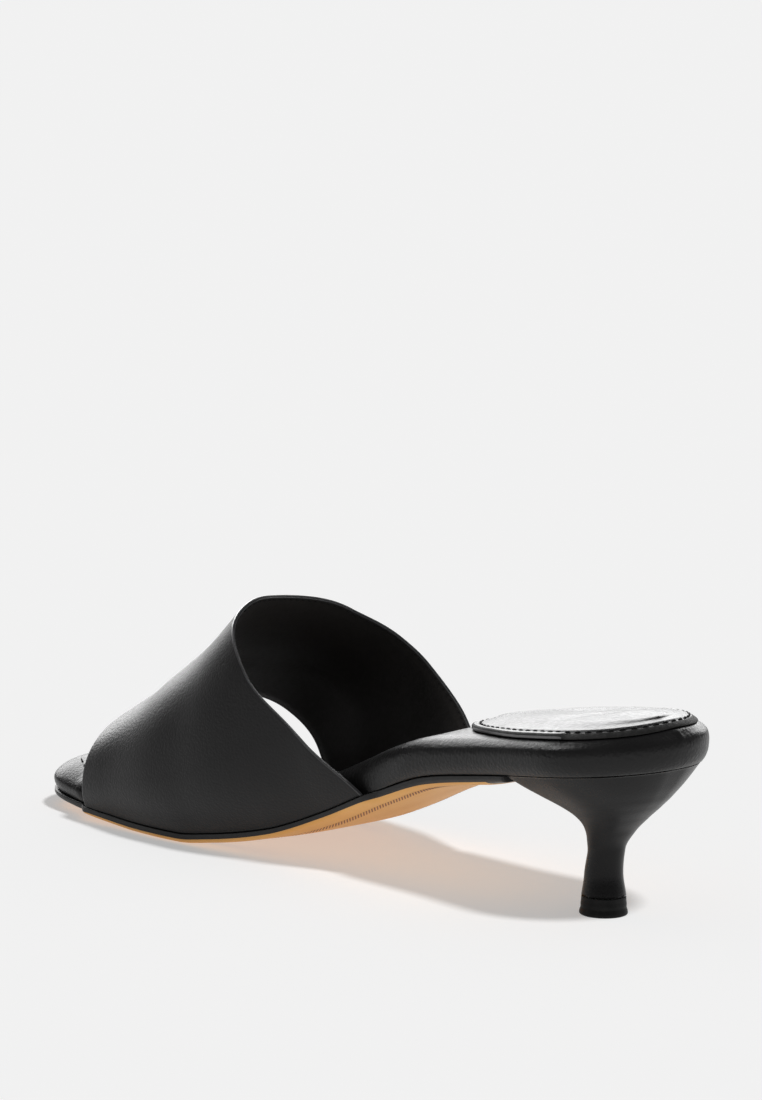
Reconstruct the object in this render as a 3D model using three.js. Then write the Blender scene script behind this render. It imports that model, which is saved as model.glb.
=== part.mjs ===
// A kitten heel sandal for the right foot: a slip-on with an open toe and an open back.
// Millimetres. +X points to the toe, +Y to the inner side of the foot, +Z up, floor at Z = 0.
// The feather line, where the footbed meets the sole, drives the plan and the side profile.
import * as THREE from 'three';

// Last and overall sizes
const lastLength = 236;
const ballWidth = 65;
const seatHeight = 45.2;
const toeSpring = 2.7;
const heelRounding = 29.5;
const toeRounding = 38.5;
const heelRoundingPower = 2;
const toeRoundingPower = 2.25;

// Clearance where two pieces meet
const gap = 0.3;

// Share of the way over the foot that lies beside the footbed
const bedsideShare = 0.06;

// Vamp, the one wide band of the upper
const vampWall = 1.6;
const vampInset = 0.2;
const instepHeight = 66;
const vampFlare = 10.3;
const archPower = 2.2;

// Outsole
const soleThickness = 2.9;
const soleToeThickness = 1.7;
const soleBreastThickness = 1.2;
const soleEdgeShare = 0.5;
const soleBevelWidth = 2.6;
const soleStep = 2.4;
const stepRun = 5;
const breastLength = 45;

// Footbed; under the vamp its side is pinched in to leave room for the wall
const bedHeelThickness = 11.3;
const bedArchThickness = 10.8;
const bedToeThickness = 8.5;
const bedBulge = 2;
const bedPinchedBulge = soleStep - vampInset - vampWall - gap;
const bedShoulder = 4.2;
const bedCrown = 0.8;
const bedCant = 0.6;

// Heel pad, glued and stitched on the footbed
const padLength = 76;
const padInset = 1.2;
const padThickness = 1.5;
const padFrontRounding = 38;
const padEdgeRound = 0.8;

// Heel and its top piece
const stemWidth = 10.6;
const stemStation = 24.2;
const tipWidth = 13.6;
const topPieceHeight = 5.2;
const topPieceLip = 1.6;
const heelSetIn = 0.4;

// Plan of the feather line. Columns: at = share of the last length,
// centre and half = shares of the ball width.
const planRows = [
  { at: 0, centre: 0, half: 0.4 },
  { at: 0.12, centre: 0, half: 0.375 },
  { at: 0.25, centre: -0.008, half: 0.343 },
  { at: 0.33, centre: -0.014, half: 0.34 },
  { at: 0.415, centre: -0.024, half: 0.338 },
  { at: 0.5, centre: -0.038, half: 0.344 },
  { at: 0.585, centre: -0.046, half: 0.402 },
  { at: 0.67, centre: -0.047, half: 0.462 },
  { at: 0.755, centre: -0.041, half: 0.491 },
  { at: 0.84, centre: -0.028, half: 0.472 },
  { at: 0.92, centre: 0.01, half: 0.463 },
  { at: 1, centre: 0.088, half: 0.495 },
];

// Side profile of the feather line. Columns: at = share of the last length, rise = share of the
// seat's height over the ball, spring = share of the toe spring.
const profileRows = [
  { at: 0, rise: 1, spring: 0 },
  { at: 0.12, rise: 0.915, spring: 0 },
  { at: 0.246, rise: 0.806, spring: 0 },
  { at: 0.33, rise: 0.717, spring: 0 },
  { at: 0.415, rise: 0.537, spring: 0 },
  { at: 0.5, rise: 0.32, spring: 0 },
  { at: 0.585, rise: 0.134, spring: 0 },
  { at: 0.67, rise: 0.035, spring: 0 },
  { at: 0.72, rise: 0, spring: 0 },
  { at: 0.79, rise: 0, spring: 0 },
  { at: 0.86, rise: 0, spring: 0.25 },
  { at: 0.93, rise: 0, spring: 0.58 },
  { at: 1, rise: 0, spring: 1 },
];

// Thickness of the footbed along its length. Columns: at = share of the last length,
// heel, arch and toe = shares of the three named thicknesses.
const bedRows = [
  { at: 0, heel: 1, arch: 0, toe: 0 },
  { at: 0.22, heel: 1, arch: 0, toe: 0 },
  { at: 0.42, heel: 0, arch: 1, toe: 0 },
  { at: 0.55, heel: 0, arch: 1, toe: 0 },
  { at: 0.85, heel: 0, arch: 0, toe: 1 },
  { at: 1, heel: 0, arch: 0, toe: 1 },
];

// Side of the footbed from its foot to its top. Columns: up = share of the thickness,
// bulge = share of the bulge, inward = share of the shoulder.
const bedSideRows = [
  { up: 0, bulge: 0, inward: 0 },
  { up: 0.16, bulge: 0.62, inward: 0 },
  { up: 0.36, bulge: 0.95, inward: 0 },
  { up: 0.54, bulge: 1, inward: 0 },
  { up: 0.72, bulge: 0.96, inward: 0.06 },
  { up: 0.86, bulge: 0.8, inward: 0.26 },
  { up: 0.96, bulge: 0.5, inward: 0.6 },
  { up: 1, bulge: 0, inward: 1 },
];

// Sections of the vamp across the foot. Columns: at = share of the last length, crest = share of
// the instep height above the feather line, lean = where the crest lies toward the inner side, as
// a share of the ball width, inner and outer = how far the sides flare out over their foot, as
// shares of the vamp's flare, spring = height of the widest points as a share of the instep height.
const sectionRows = [
  { at: 0.4, crest: 1.23, lean: 0.1, inner: 0.24, outer: 0.6, spring: 0.48 },
  { at: 0.5, crest: 1.282, lean: 0.14, inner: 0.88, outer: 0.7, spring: 0.42 },
  { at: 0.6, crest: 1.156, lean: 0.158, inner: 1, outer: 0.36, spring: 0.34 },
  { at: 0.7, crest: 0.881, lean: 0.122, inner: 0.76, outer: 0.03, spring: 0.26 },
  { at: 0.8, crest: 0.613, lean: 0.085, inner: 0.48, outer: 0.02, spring: 0.19 },
  { at: 0.88, crest: 0.416, lean: 0.064, inner: 0.24, outer: 0.15, spring: 0.13 },
];

// The two free edges of the vamp. Columns: around = share of the way over the foot from the inner
// side to the outer side, topline and toeline = shares of the last length.
const edgeRows = [
  { around: 0, topline: 0.432, toeline: 0.887 },
  { around: 0.12, topline: 0.503, toeline: 0.879 },
  { around: 0.25, topline: 0.586, toeline: 0.875 },
  { around: 0.4, topline: 0.646, toeline: 0.872 },
  { around: 0.52, topline: 0.656, toeline: 0.864 },
  { around: 0.65, topline: 0.641, toeline: 0.843 },
  { around: 0.8, topline: 0.562, toeline: 0.807 },
  { around: 0.9, topline: 0.493, toeline: 0.77 },
  { around: 1, topline: 0.428, toeline: 0.743 },
];

// Heel sections from the top piece to the seat. Columns: up = share of the height of the heel,
// fore = shift of the centre toward the toe and size = half size, both as shares of the stem's
// width, seat = share of the seat's own outline in the section.
const heelRows = [
  { up: 0.12, fore: 0.31, size: 0.592, seat: 0 },
  { up: 0.26, fore: 0.33, size: 0.515, seat: 0 },
  { up: 0.42, fore: 0.25, size: 0.5, seat: 0 },
  { up: 0.54, fore: 0.07, size: 0.58, seat: 0.03 },
  { up: 0.64, fore: -0.165, size: 0.665, seat: 0.104 },
  { up: 0.72, fore: -0.34, size: 0.74, seat: 0.222 },
  { up: 0.79, fore: -0.42, size: 0.8, seat: 0.388 },
  { up: 0.86, fore: -0.41, size: 0.86, seat: 0.595 },
  { up: 0.93, fore: -0.34, size: 0.91, seat: 0.807 },
  { up: 1, fore: -0.25, size: 0.96, seat: 1 },
];

// Smooth monotone curve through one column of a table, read at a share
function curveOf(rows, column, key = 'at') {
  const xs = rows.map((row) => row[key]);
  const ys = rows.map((row) => row[column]);
  const slopes = xs.slice(1).map((x, i) => (ys[i + 1] - ys[i]) / (x - xs[i]));
  const tangents = ys.map((_, i) => {
    if (i === 0) return slopes[0];
    if (i === ys.length - 1) return slopes[i - 1];
    if (slopes[i - 1] * slopes[i] <= 0) return 0;
    return (2 * slopes[i - 1] * slopes[i]) / (slopes[i - 1] + slopes[i]);
  });
  return (share) => {
    const last = xs.length - 1;
    const t = Math.min(Math.max(share, xs[0]), xs[last]);
    let i = 0;
    while (i < last - 1 && t > xs[i + 1]) i += 1;
    const run = xs[i + 1] - xs[i];
    const s = (t - xs[i]) / run;
    const s2 = s * s;
    const s3 = s2 * s;
    return (2 * s3 - 3 * s2 + 1) * ys[i] + (s3 - 2 * s2 + s) * run * tangents[i]
      + (3 * s2 - 2 * s3) * ys[i + 1] + (s3 - s2) * run * tangents[i + 1];
  };
}

const blend = (a, b, share) => a + (b - a) * share;

// Smooth switch from 0 to 1 while a value crosses a run of the given width that starts at start
function switchOver(value, start, run) {
  const s = Math.min(Math.max((value - start) / run, 0), 1);
  return s * s * (3 - 2 * s);
}

// Feather line: plan and height
const planCentre = curveOf(planRows, 'centre');
const planHalf = curveOf(planRows, 'half');
const profileRise = curveOf(profileRows, 'rise');
const profileSpring = curveOf(profileRows, 'spring');

// Narrows a width to nothing over the rounded end of an outline
function endRounding(distance, rounding, power) {
  if (distance >= rounding) return 1;
  const short = 1 - Math.max(distance, 0) / rounding;
  return (1 - short ** power) ** (1 / power);
}

function featherY(x, side) {
  const heelEnd = endRounding(x, heelRounding, heelRoundingPower);
  const ends = heelEnd * endRounding(lastLength - x, toeRounding, toeRoundingPower);
  return ballWidth * (planCentre(x / lastLength) + side * planHalf(x / lastLength) * ends);
}

function featherZ(x) {
  const share = x / lastLength;
  const seatRise = (seatHeight - soleThickness) * profileRise(share);
  return soleThickness + seatRise + toeSpring * profileSpring(share);
}

// Sole thickness: thin at the breast of the heel, full under the ball, a little less at the toe
const ballStart = 0.66 * lastLength;
const ballEnd = 0.8 * lastLength;
function soleThicknessAt(x) {
  const back = blend(soleBreastThickness, soleThickness, switchOver(x, breastLength, ballStart - breastLength));
  return blend(back, soleToeThickness, switchOver(x, ballEnd, lastLength - ballEnd));
}

// Where the vamp stands beside the footbed, on each side
const toplineOf = curveOf(edgeRows, 'topline', 'around');
const toelineOf = curveOf(edgeRows, 'toeline', 'around');
function endsOfSide(foot, bedTopAround) {
  return {
    back: lastLength * Math.min(toplineOf(foot), toplineOf(bedTopAround)),
    front: lastLength * Math.max(toelineOf(foot), toelineOf(bedTopAround)),
  };
}
const vampEnds = { inner: endsOfSide(0, bedsideShare), outer: endsOfSide(1, 1 - bedsideShare) };

// 1 where the vamp stands on this side of the sole, 0 clear of it
function underVamp(x, side) {
  const ends = side > 0 ? vampEnds.inner : vampEnds.outer;
  const afterBack = switchOver(x, ends.back - stepRun, stepRun);
  return afterBack * (1 - switchOver(x, ends.front, stepRun));
}

// Stations along the feather line, close together at the rounded ends and at the vamp's ends
function stationList() {
  const list = [];
  const heelSteps = 9;
  const toeSteps = 12;
  const middleStep = 5.5;
  for (let i = 0; i <= heelSteps; i += 1) {
    list.push(heelRounding * (1 - Math.cos((Math.PI / 2) * (i / heelSteps))));
  }
  const middle = lastLength - toeRounding - heelRounding;
  const middleSteps = Math.round(middle / middleStep);
  for (let i = 1; i < middleSteps; i += 1) list.push(heelRounding + (middle * i) / middleSteps);
  for (let i = toeSteps; i >= 0; i -= 1) {
    list.push(lastLength - toeRounding * (1 - Math.cos((Math.PI / 2) * (i / toeSteps))));
  }
  return list;
}

// The feather line as two rows of points with their outward directions in plan
function outlineAt(x, side) {
  const step = 0.05;
  if (x <= 0) return { x, y: featherY(0, side), nx: -1, ny: 0 };
  if (x >= lastLength) return { x, y: featherY(lastLength, side), nx: 1, ny: 0 };
  const ahead = Math.min(x + step, lastLength);
  const behind = Math.max(x - step, 0);
  const dx = ahead - behind;
  const dy = featherY(ahead, side) - featherY(behind, side);
  const length = Math.hypot(dx, dy);
  return { x, y: featherY(x, side), nx: (-dy * side) / length, ny: (dx * side) / length };
}

function offsetPoint(spot, offset) {
  return { x: spot.x + spot.nx * offset, y: spot.y + spot.ny * offset };
}

// Mesh made of shared points and triangles
class Shell {
  constructor() {
    this.points = [];
    this.faces = [];
  }

  point(x, y, z) {
    this.points.push(x, y, z);
    return this.points.length / 3 - 1;
  }

  triangle(a, b, c) {
    if (a !== b && b !== c && c !== a) this.faces.push(a, b, c);
  }

  quad(a, b, c, d) {
    this.triangle(a, b, c);
    this.triangle(a, c, d);
  }

  // Joins two rows of equal length; the faces look to the left of the rows' direction
  strip(first, second, closed = false) {
    const count = closed ? first.length : first.length - 1;
    for (let i = 0; i < count; i += 1) {
      const j = (i + 1) % first.length;
      this.quad(first[i], first[j], second[j], second[i]);
    }
  }

  fan(centre, ring, closed = true) {
    const count = closed ? ring.length : ring.length - 1;
    for (let i = 0; i < count; i += 1) this.triangle(centre, ring[i], ring[(i + 1) % ring.length]);
  }

  mesh(name, finish) {
    const geometry = new THREE.BufferGeometry();
    geometry.setAttribute('position', new THREE.Float32BufferAttribute(this.points, 3));
    geometry.setIndex(this.faces);
    geometry.computeVertexNormals();
    const mesh = new THREE.Mesh(geometry, new THREE.MeshStandardMaterial(finish));
    mesh.name = name;
    return mesh;
  }
}

// Outsole: a thin slab that follows the profile, with an upright edge and a rounded bevel below
function makeOutsole(finish) {
  const shell = new Shell();
  const stations = stationList().filter((x) => x > breastLength + 1);
  stations.unshift(breastLength + gap);
  const extra = [vampEnds.inner.back, vampEnds.outer.back, vampEnds.inner.front, vampEnds.outer.front];
  extra.forEach((x) => stations.push(x));
  stations.sort((a, b) => a - b);
  const bevelRows = [{ inward: 0, down: soleEdgeShare }, { inward: 0.25, down: 0.84 }, { inward: 1, down: 1 }];
  const sideColumn = (x, side) => {
    const spot = outlineAt(x, side);
    const edge = soleStep * underVamp(x, side);
    const top = offsetPoint(spot, edge);
    const column = [shell.point(top.x, top.y, featherZ(top.x))];
    for (const row of bevelRows) {
      const at = offsetPoint(spot, edge - row.inward * soleBevelWidth);
      column.push(shell.point(at.x, at.y, featherZ(at.x) - row.down * soleThicknessAt(at.x)));
    }
    return column;
  };
  const rings = stations.map((x) => {
    const inner = sideColumn(x, 1);
    if (x >= lastLength) return [...inner, ...[...inner].reverse()];
    return [...inner, ...sideColumn(x, -1).reverse()];
  });
  for (let i = 0; i + 1 < rings.length; i += 1) shell.strip(rings[i + 1], rings[i], true);
  const breast = rings[0];
  for (let i = 1; i + 1 < breast.length; i += 1) shell.triangle(breast[0], breast[i], breast[i + 1]);
  return shell.mesh('outsole', finish);
}

const bedHeelShare = curveOf(bedRows, 'heel');
const bedArchShare = curveOf(bedRows, 'arch');
const bedToeShare = curveOf(bedRows, 'toe');

function bedThicknessAt(x) {
  const share = x / lastLength;
  return bedHeelThickness * bedHeelShare(share) + bedArchThickness * bedArchShare(share)
    + bedToeThickness * bedToeShare(share);
}

// Height of the footbed over the feather line: a shallow crown, and at the heel a slight rise
// toward the outer side
function bedHeight(x, y) {
  const share = x / lastLength;
  const offMiddle = y - ballWidth * planCentre(share);
  const shareOf = (half) => Math.min(Math.max(offMiddle / half, -1), 1);
  const across = shareOf(Math.max((featherY(x, 1) - featherY(x, -1)) / 2, 1));
  const cant = bedCant * bedHeelShare(share) * shareOf(ballWidth * planHalf(share));
  return bedThicknessAt(x) + bedCrown * (1 - across * across) - cant;
}

function bedTop(x, y) {
  return featherZ(x) + bedHeight(x, y);
}

// How far the shoulder of the footbed has fallen at a distance inside the feather line
const shoulderRows = bedSideRows.filter((row) => row.inward > 0)
  .map((row) => ({ up: row.up, fromEdge: row.inward * bedShoulder - row.bulge * bedBulge }));
const shoulderUp = curveOf(shoulderRows, 'up', 'fromEdge');
function shoulderDrop(x, y, fromEdge) {
  return bedHeight(x, y) * (1 - shoulderUp(fromEdge));
}

// Footbed: padded and wrapped, with bulging sides and a soft shoulder all round
function makeFootbed(finish) {
  const shell = new Shell();
  const stations = stationList();
  const crossings = 6;
  const column = (x, side) => {
    const spot = outlineAt(x, side);
    const bulge = blend(bedBulge, bedPinchedBulge, underVamp(x, side));
    return bedSideRows.map((row) => {
      const at = offsetPoint(spot, row.bulge * bulge - row.inward * bedShoulder);
      const up = row.up * bedHeight(at.x, at.y) + (row.up === 0 ? gap : 0);
      return shell.point(at.x, at.y, featherZ(at.x) + up);
    });
  };
  const innerSide = stations.map((x) => column(x, 1));
  const last = stations.length - 1;
  const outerSide = stations.map((x, i) => (i === 0 || i === last ? innerSide[i] : column(x, -1)));
  for (let i = 0; i < last; i += 1) {
    shell.strip(innerSide[i], innerSide[i + 1]);
    shell.strip(outerSide[i + 1], outerSide[i]);
  }
  const at = (index, axis) => shell.points[index * 3 + axis];
  const topRow = (i) => {
    const from = innerSide[i][bedSideRows.length - 1];
    const to = outerSide[i][bedSideRows.length - 1];
    if (from === to) return new Array(crossings + 1).fill(from);
    const row = [from];
    for (let k = 1; k < crossings; k += 1) {
      const x = blend(at(from, 0), at(to, 0), k / crossings);
      const y = blend(at(from, 1), at(to, 1), k / crossings);
      row.push(shell.point(x, y, bedTop(x, y)));
    }
    row.push(to);
    return row;
  };
  const topRows = stations.map((_, i) => topRow(i));
  for (let i = 0; i < last; i += 1) {
    shell.strip(topRows[i], topRows[i + 1]);
    shell.strip([outerSide[i][0], innerSide[i][0]], [outerSide[i + 1][0], innerSide[i + 1][0]]);
  }
  return shell.mesh('footbed', finish);
}

// Heel pad: an egg-shaped sock that lies on the footbed
function makeHeelPad(finish) {
  const shell = new Shell();
  const around = 56;
  const outline = [];
  for (let i = 0; i < around; i += 1) {
    const angle = (2 * Math.PI * i) / around;
    const station = (padLength / 2) * (1 - Math.cos(angle));
    const edge = outlineAt(station, i <= around / 2 ? 1 : -1);
    const full = offsetPoint(edge, -padInset);
    const middle = (featherY(full.x, 1) + featherY(full.x, -1)) / 2;
    const narrowed = endRounding(padLength - station, padFrontRounding, heelRoundingPower);
    const y = blend(middle, full.y, narrowed);
    outline.push({ x: full.x, y, middle, fromEdge: padInset + Math.abs((full.y - y) * edge.ny) });
  }
  const centreX = padLength / 2;
  const ring = (inward, up) => outline.map((spot) => {
    const toCentreX = centreX - spot.x;
    const toCentreY = spot.middle - spot.y;
    const length = Math.hypot(toCentreX, toCentreY);
    const x = spot.x + (toCentreX / length) * inward;
    const y = spot.y + (toCentreY / length) * inward;
    return shell.point(x, y, bedTop(x, y) - shoulderDrop(x, y, spot.fromEdge + inward) + gap + up);
  });
  const clearOfShoulder = Math.max(bedShoulder - padInset, padEdgeRound * 2.5) + gap;
  const rings = [
    ring(clearOfShoulder, 0),
    ring(0.4, 0),
    ring(0, 0.35 * padThickness),
    ring(0, 0.65 * padThickness),
    ring(padEdgeRound * 0.5, 0.92 * padThickness),
    ring(padEdgeRound * 2, padThickness),
    ring(clearOfShoulder, padThickness),
  ];
  const half = around / 2;
  const across = (edge, lift) => {
    const rows = [];
    for (let i = 0; i <= half; i += 1) {
      const from = edge[i];
      const to = edge[(around - i) % around];
      const row = [from];
      const steps = 4;
      for (let k = 1; k < steps && from !== to; k += 1) {
        const x = blend(shell.points[from * 3], shell.points[to * 3], k / steps);
        const y = blend(shell.points[from * 3 + 1], shell.points[to * 3 + 1], k / steps);
        row.push(shell.point(x, y, bedTop(x, y) + gap + lift));
      }
      while (row.length < steps) row.push(from);
      row.push(to);
      rows.push(row);
    }
    return rows;
  };
  for (let i = 0; i + 1 < rings.length; i += 1) shell.strip(rings[i + 1], rings[i], true);
  const top = across(rings[rings.length - 1], padThickness);
  const bottom = across(rings[0], 0);
  for (let i = 0; i < half; i += 1) {
    shell.strip(top[i], top[i + 1]);
    shell.strip(bottom[i + 1], bottom[i]);
  }
  return shell.mesh('heel_pad', finish);
}

const sectionCrest = curveOf(sectionRows, 'crest');
const sectionLean = curveOf(sectionRows, 'lean');
const sectionInner = curveOf(sectionRows, 'inner');
const sectionOuter = curveOf(sectionRows, 'outer');
const sectionSpring = curveOf(sectionRows, 'spring');

// Outer surface of the vamp in the plane of one station, as a fine line over the foot
function vampSection(x) {
  const share = x / lastLength;
  const foot = soleStep - vampInset;
  const crestY = ballWidth * sectionLean(share);
  const crestZ = instepHeight * sectionCrest(share);
  const springZ = instepHeight * sectionSpring(share);
  const innerFoot = featherY(x, 1) + foot;
  const outerFoot = featherY(x, -1) - foot;
  const sides = [
    { foot: innerFoot, wide: innerFoot + vampFlare * sectionInner(share) },
    { foot: outerFoot, wide: outerFoot - vampFlare * sectionOuter(share) },
  ];
  const lowSteps = 10;
  const highSteps = 26;
  const lines = sides.map((side) => {
    const line = [];
    for (let i = 0; i < lowSteps; i += 1) {
      const up = i / lowSteps;
      line.push([blend(side.wide, side.foot, (1 - up) ** 2), springZ * up]);
    }
    for (let i = 0; i <= highSteps; i += 1) {
      const angle = (Math.PI / 2) * (i / highSteps);
      const y = crestY + (side.wide - crestY) * Math.max(Math.cos(angle), 0) ** (2 / archPower);
      const z = springZ + (crestZ - springZ) * Math.sin(angle) ** (2 / archPower);
      line.push([y, z]);
    }
    return line;
  });
  const line = [...lines[0], ...lines[1].reverse().slice(1)];
  const lengths = [0];
  for (let i = 1; i < line.length; i += 1) {
    const step = Math.hypot(line[i][0] - line[i - 1][0], line[i][1] - line[i - 1][1]);
    lengths.push(lengths[i - 1] + step);
  }
  return { line, lengths, floor: featherZ(x) + gap };
}

// Point of the vamp's outer surface at a station and a share of the way over the foot
function vampPoint(x, around) {
  const { line, lengths, floor } = vampSection(x);
  const target = around * lengths[lengths.length - 1];
  let i = 0;
  while (i < lengths.length - 2 && lengths[i + 1] < target) i += 1;
  const s = (target - lengths[i]) / (lengths[i + 1] - lengths[i]);
  return new THREE.Vector3(x, blend(line[i][0], line[i + 1][0], s), floor + blend(line[i][1], line[i + 1][1], s));
}

// Vamp: one hollow band, its wall offset inward from the outer surface
function makeVamp(finish) {
  const shell = new Shell();
  const aroundSteps = 44;
  const alongSteps = 18;
  const stationOf = (around, along) => lastLength * blend(toelineOf(around), toplineOf(around), along);
  const inwardAt = (x, around) => {
    const step = 0.01;
    const low = Math.max(around - step, 0);
    const high = Math.min(around + step, 1);
    const across = vampPoint(x, high).sub(vampPoint(x, low));
    const along = vampPoint(x + 0.5, around).sub(vampPoint(x - 0.5, around));
    return along.cross(across).normalize();
  };
  const outer = [];
  const inner = [];
  for (let j = 0; j <= alongSteps; j += 1) {
    const outerRow = [];
    const innerRow = [];
    for (let i = 0; i <= aroundSteps; i += 1) {
      const around = i / aroundSteps;
      const x = stationOf(around, j / alongSteps);
      const spot = vampPoint(x, around);
      outerRow.push(shell.point(spot.x, spot.y, spot.z));
      const inward = inwardAt(x, around);
      if (i === 0 || i === aroundSteps) inward.set(0, Math.sign(inward.y), 0);
      const inside = spot.clone().addScaledVector(inward, vampWall);
      innerRow.push(shell.point(inside.x, inside.y, inside.z));
    }
    outer.push(outerRow);
    inner.push(innerRow);
  }
  for (let j = 0; j < alongSteps; j += 1) {
    shell.strip(outer[j + 1], outer[j]);
    shell.strip(inner[j], inner[j + 1]);
  }
  shell.strip(outer[0], inner[0]);
  shell.strip(inner[alongSteps], outer[alongSteps]);
  const column = (rows, i) => rows.map((row) => row[i]);
  shell.strip(column(inner, 0), column(outer, 0));
  shell.strip(column(outer, aroundSteps), column(inner, aroundSteps));
  return shell.mesh('vamp', finish);
}

// Outline of the heel's seat, as far as the breast, and the round of the stem at the same angle
const heelSides = 40;
const seatCentre = 0.52 * breastLength;
function seatPoint(index) {
  const angle = (2 * Math.PI * index) / heelSides;
  const centre = seatCentre;
  const direction = { x: -Math.cos(angle), y: Math.sin(angle) };
  let low = 0;
  let high = lastLength;
  for (let i = 0; i < 40; i += 1) {
    const middle = (low + high) / 2;
    const x = centre + direction.x * middle;
    const y = direction.y * middle;
    const inside = x > heelSetIn && x < breastLength
      && y < featherY(x, 1) - heelSetIn && y > featherY(x, -1) + heelSetIn;
    if (inside) low = middle;
    else high = middle;
  }
  return { x: centre + direction.x * low, y: direction.y * low };
}

function makeHeel(finish) {
  const shell = new Shell();
  const fore = curveOf(heelRows, 'fore', 'up');
  const size = curveOf(heelRows, 'size', 'up');
  const seat = curveOf(heelRows, 'seat', 'up');
  const levels = 22;
  const start = (topPieceHeight + gap) / seatHeight;
  const rings = [];
  for (let k = 0; k <= levels; k += 1) {
    const rise = k / levels;
    const ring = [];
    for (let i = 0; i < heelSides; i += 1) {
      const angle = (2 * Math.PI * i) / heelSides;
      const top = seatPoint(i);
      const up = blend(start, 1, rise);
      const radius = stemWidth * size(up);
      const stemX = stemStation + stemWidth * fore(up) - Math.cos(angle) * radius;
      const stemY = Math.sin(angle) * radius;
      const x = blend(stemX, top.x, seat(up));
      const y = blend(stemY, top.y, seat(up));
      const z = blend(topPieceHeight + gap, featherZ(top.x), rise);
      ring.push(shell.point(x, y, z));
    }
    rings.push(ring);
  }
  for (let k = 0; k < levels; k += 1) shell.strip(rings[k + 1], rings[k], true);
  const topCentre = shell.point(seatCentre, 0, featherZ(seatCentre));
  shell.fan(topCentre, [...rings[levels]].reverse());
  const stemCentre = shell.point(stemStation + stemWidth * fore(start), 0, topPieceHeight + gap);
  shell.fan(stemCentre, rings[0]);
  return shell.mesh('heel', finish);
}

// Top piece: the small plate that the heel walks on, flared to a lip at the floor
function makeTopPiece(finish) {
  const shell = new Shell();
  const fore = curveOf(heelRows, 'fore', 'up');
  const seamWidth = 2 * stemWidth * heelRows[0].size;
  const rows = [
    { up: 0, width: tipWidth - 0.8 },
    { up: 0.4, width: tipWidth },
    { up: topPieceLip, width: tipWidth - 0.5 },
    { up: topPieceLip * 1.8, width: blend(tipWidth, seamWidth, 0.7) },
    { up: topPieceHeight, width: seamWidth },
  ];
  const centreX = stemStation + stemWidth * fore(heelRows[0].up);
  const rings = rows.map((row) => {
    const ring = [];
    for (let i = 0; i < heelSides; i += 1) {
      const angle = (2 * Math.PI * i) / heelSides;
      const x = centreX - (Math.cos(angle) * row.width) / 2;
      ring.push(shell.point(x, (Math.sin(angle) * row.width) / 2, row.up));
    }
    return ring;
  });
  for (let k = 0; k + 1 < rings.length; k += 1) shell.strip(rings[k + 1], rings[k], true);
  shell.fan(shell.point(centreX, 0, topPieceHeight), [...rings[rings.length - 1]].reverse());
  shell.fan(shell.point(centreX, 0, 0), rings[0]);
  return shell.mesh('top_piece', finish);
}

const finishes = {
  vamp: { color: 0x232324, roughness: 0.45, metalness: 0 },
  lining: { color: 0x1c1c1d, roughness: 0.4, metalness: 0 },
  pad: { color: 0x2a2a2c, roughness: 0.35, metalness: 0 },
  sole: { color: 0xd9a566, roughness: 0.6, metalness: 0 },
  heel: { color: 0x1b1b1c, roughness: 0.35, metalness: 0 },
  topPiece: { color: 0x151515, roughness: 0.55, metalness: 0 },
};

const group = new THREE.Group();
group.add(makeOutsole(finishes.sole));
group.add(makeFootbed(finishes.lining));
group.add(makeHeelPad(finishes.pad));
group.add(makeVamp(finishes.vamp));
group.add(makeHeel(finishes.heel));
group.add(makeTopPiece(finishes.topPiece));

// The origin lies on the floor under the middle of the shoe's box
const box = new THREE.Box3().setFromObject(group);
const middle = box.getCenter(new THREE.Vector3());
group.position.set(-middle.x, -middle.y, -box.min.z);

export default group;
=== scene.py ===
"""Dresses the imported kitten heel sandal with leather, stitches, edges, sole and studio light."""

import logging
import math
from collections.abc import Callable, Sequence
from dataclasses import dataclass
from enum import Enum

import bpy
import numpy as np
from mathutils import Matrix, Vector


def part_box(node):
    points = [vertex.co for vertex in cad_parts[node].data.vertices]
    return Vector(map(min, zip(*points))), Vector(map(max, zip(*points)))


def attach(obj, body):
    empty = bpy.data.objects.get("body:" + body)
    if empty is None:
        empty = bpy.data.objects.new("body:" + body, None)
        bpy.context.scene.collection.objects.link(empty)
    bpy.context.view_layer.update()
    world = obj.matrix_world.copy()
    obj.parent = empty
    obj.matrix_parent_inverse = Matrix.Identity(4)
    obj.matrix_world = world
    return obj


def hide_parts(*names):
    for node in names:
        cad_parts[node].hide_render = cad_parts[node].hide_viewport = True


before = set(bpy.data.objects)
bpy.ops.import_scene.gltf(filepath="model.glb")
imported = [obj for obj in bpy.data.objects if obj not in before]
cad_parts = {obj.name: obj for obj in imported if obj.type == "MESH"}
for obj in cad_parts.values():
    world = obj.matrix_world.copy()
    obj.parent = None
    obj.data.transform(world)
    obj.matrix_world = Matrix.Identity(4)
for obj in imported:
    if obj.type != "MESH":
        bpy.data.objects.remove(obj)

log = logging.getLogger("sandal")

MM = 0.001
GAP = 0.3

# Plan of the feather line: share of the last length, then centre and half width as shares of
# the ball width.
PLAN_ROWS = (
    (0.0, 0.0, 0.4),
    (0.12, 0.0, 0.375),
    (0.25, -0.008, 0.343),
    (0.33, -0.014, 0.34),
    (0.415, -0.024, 0.338),
    (0.5, -0.038, 0.344),
    (0.585, -0.046, 0.402),
    (0.67, -0.047, 0.462),
    (0.755, -0.041, 0.491),
    (0.84, -0.028, 0.472),
    (0.92, 0.01, 0.463),
    (1.0, 0.088, 0.495),
)

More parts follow.
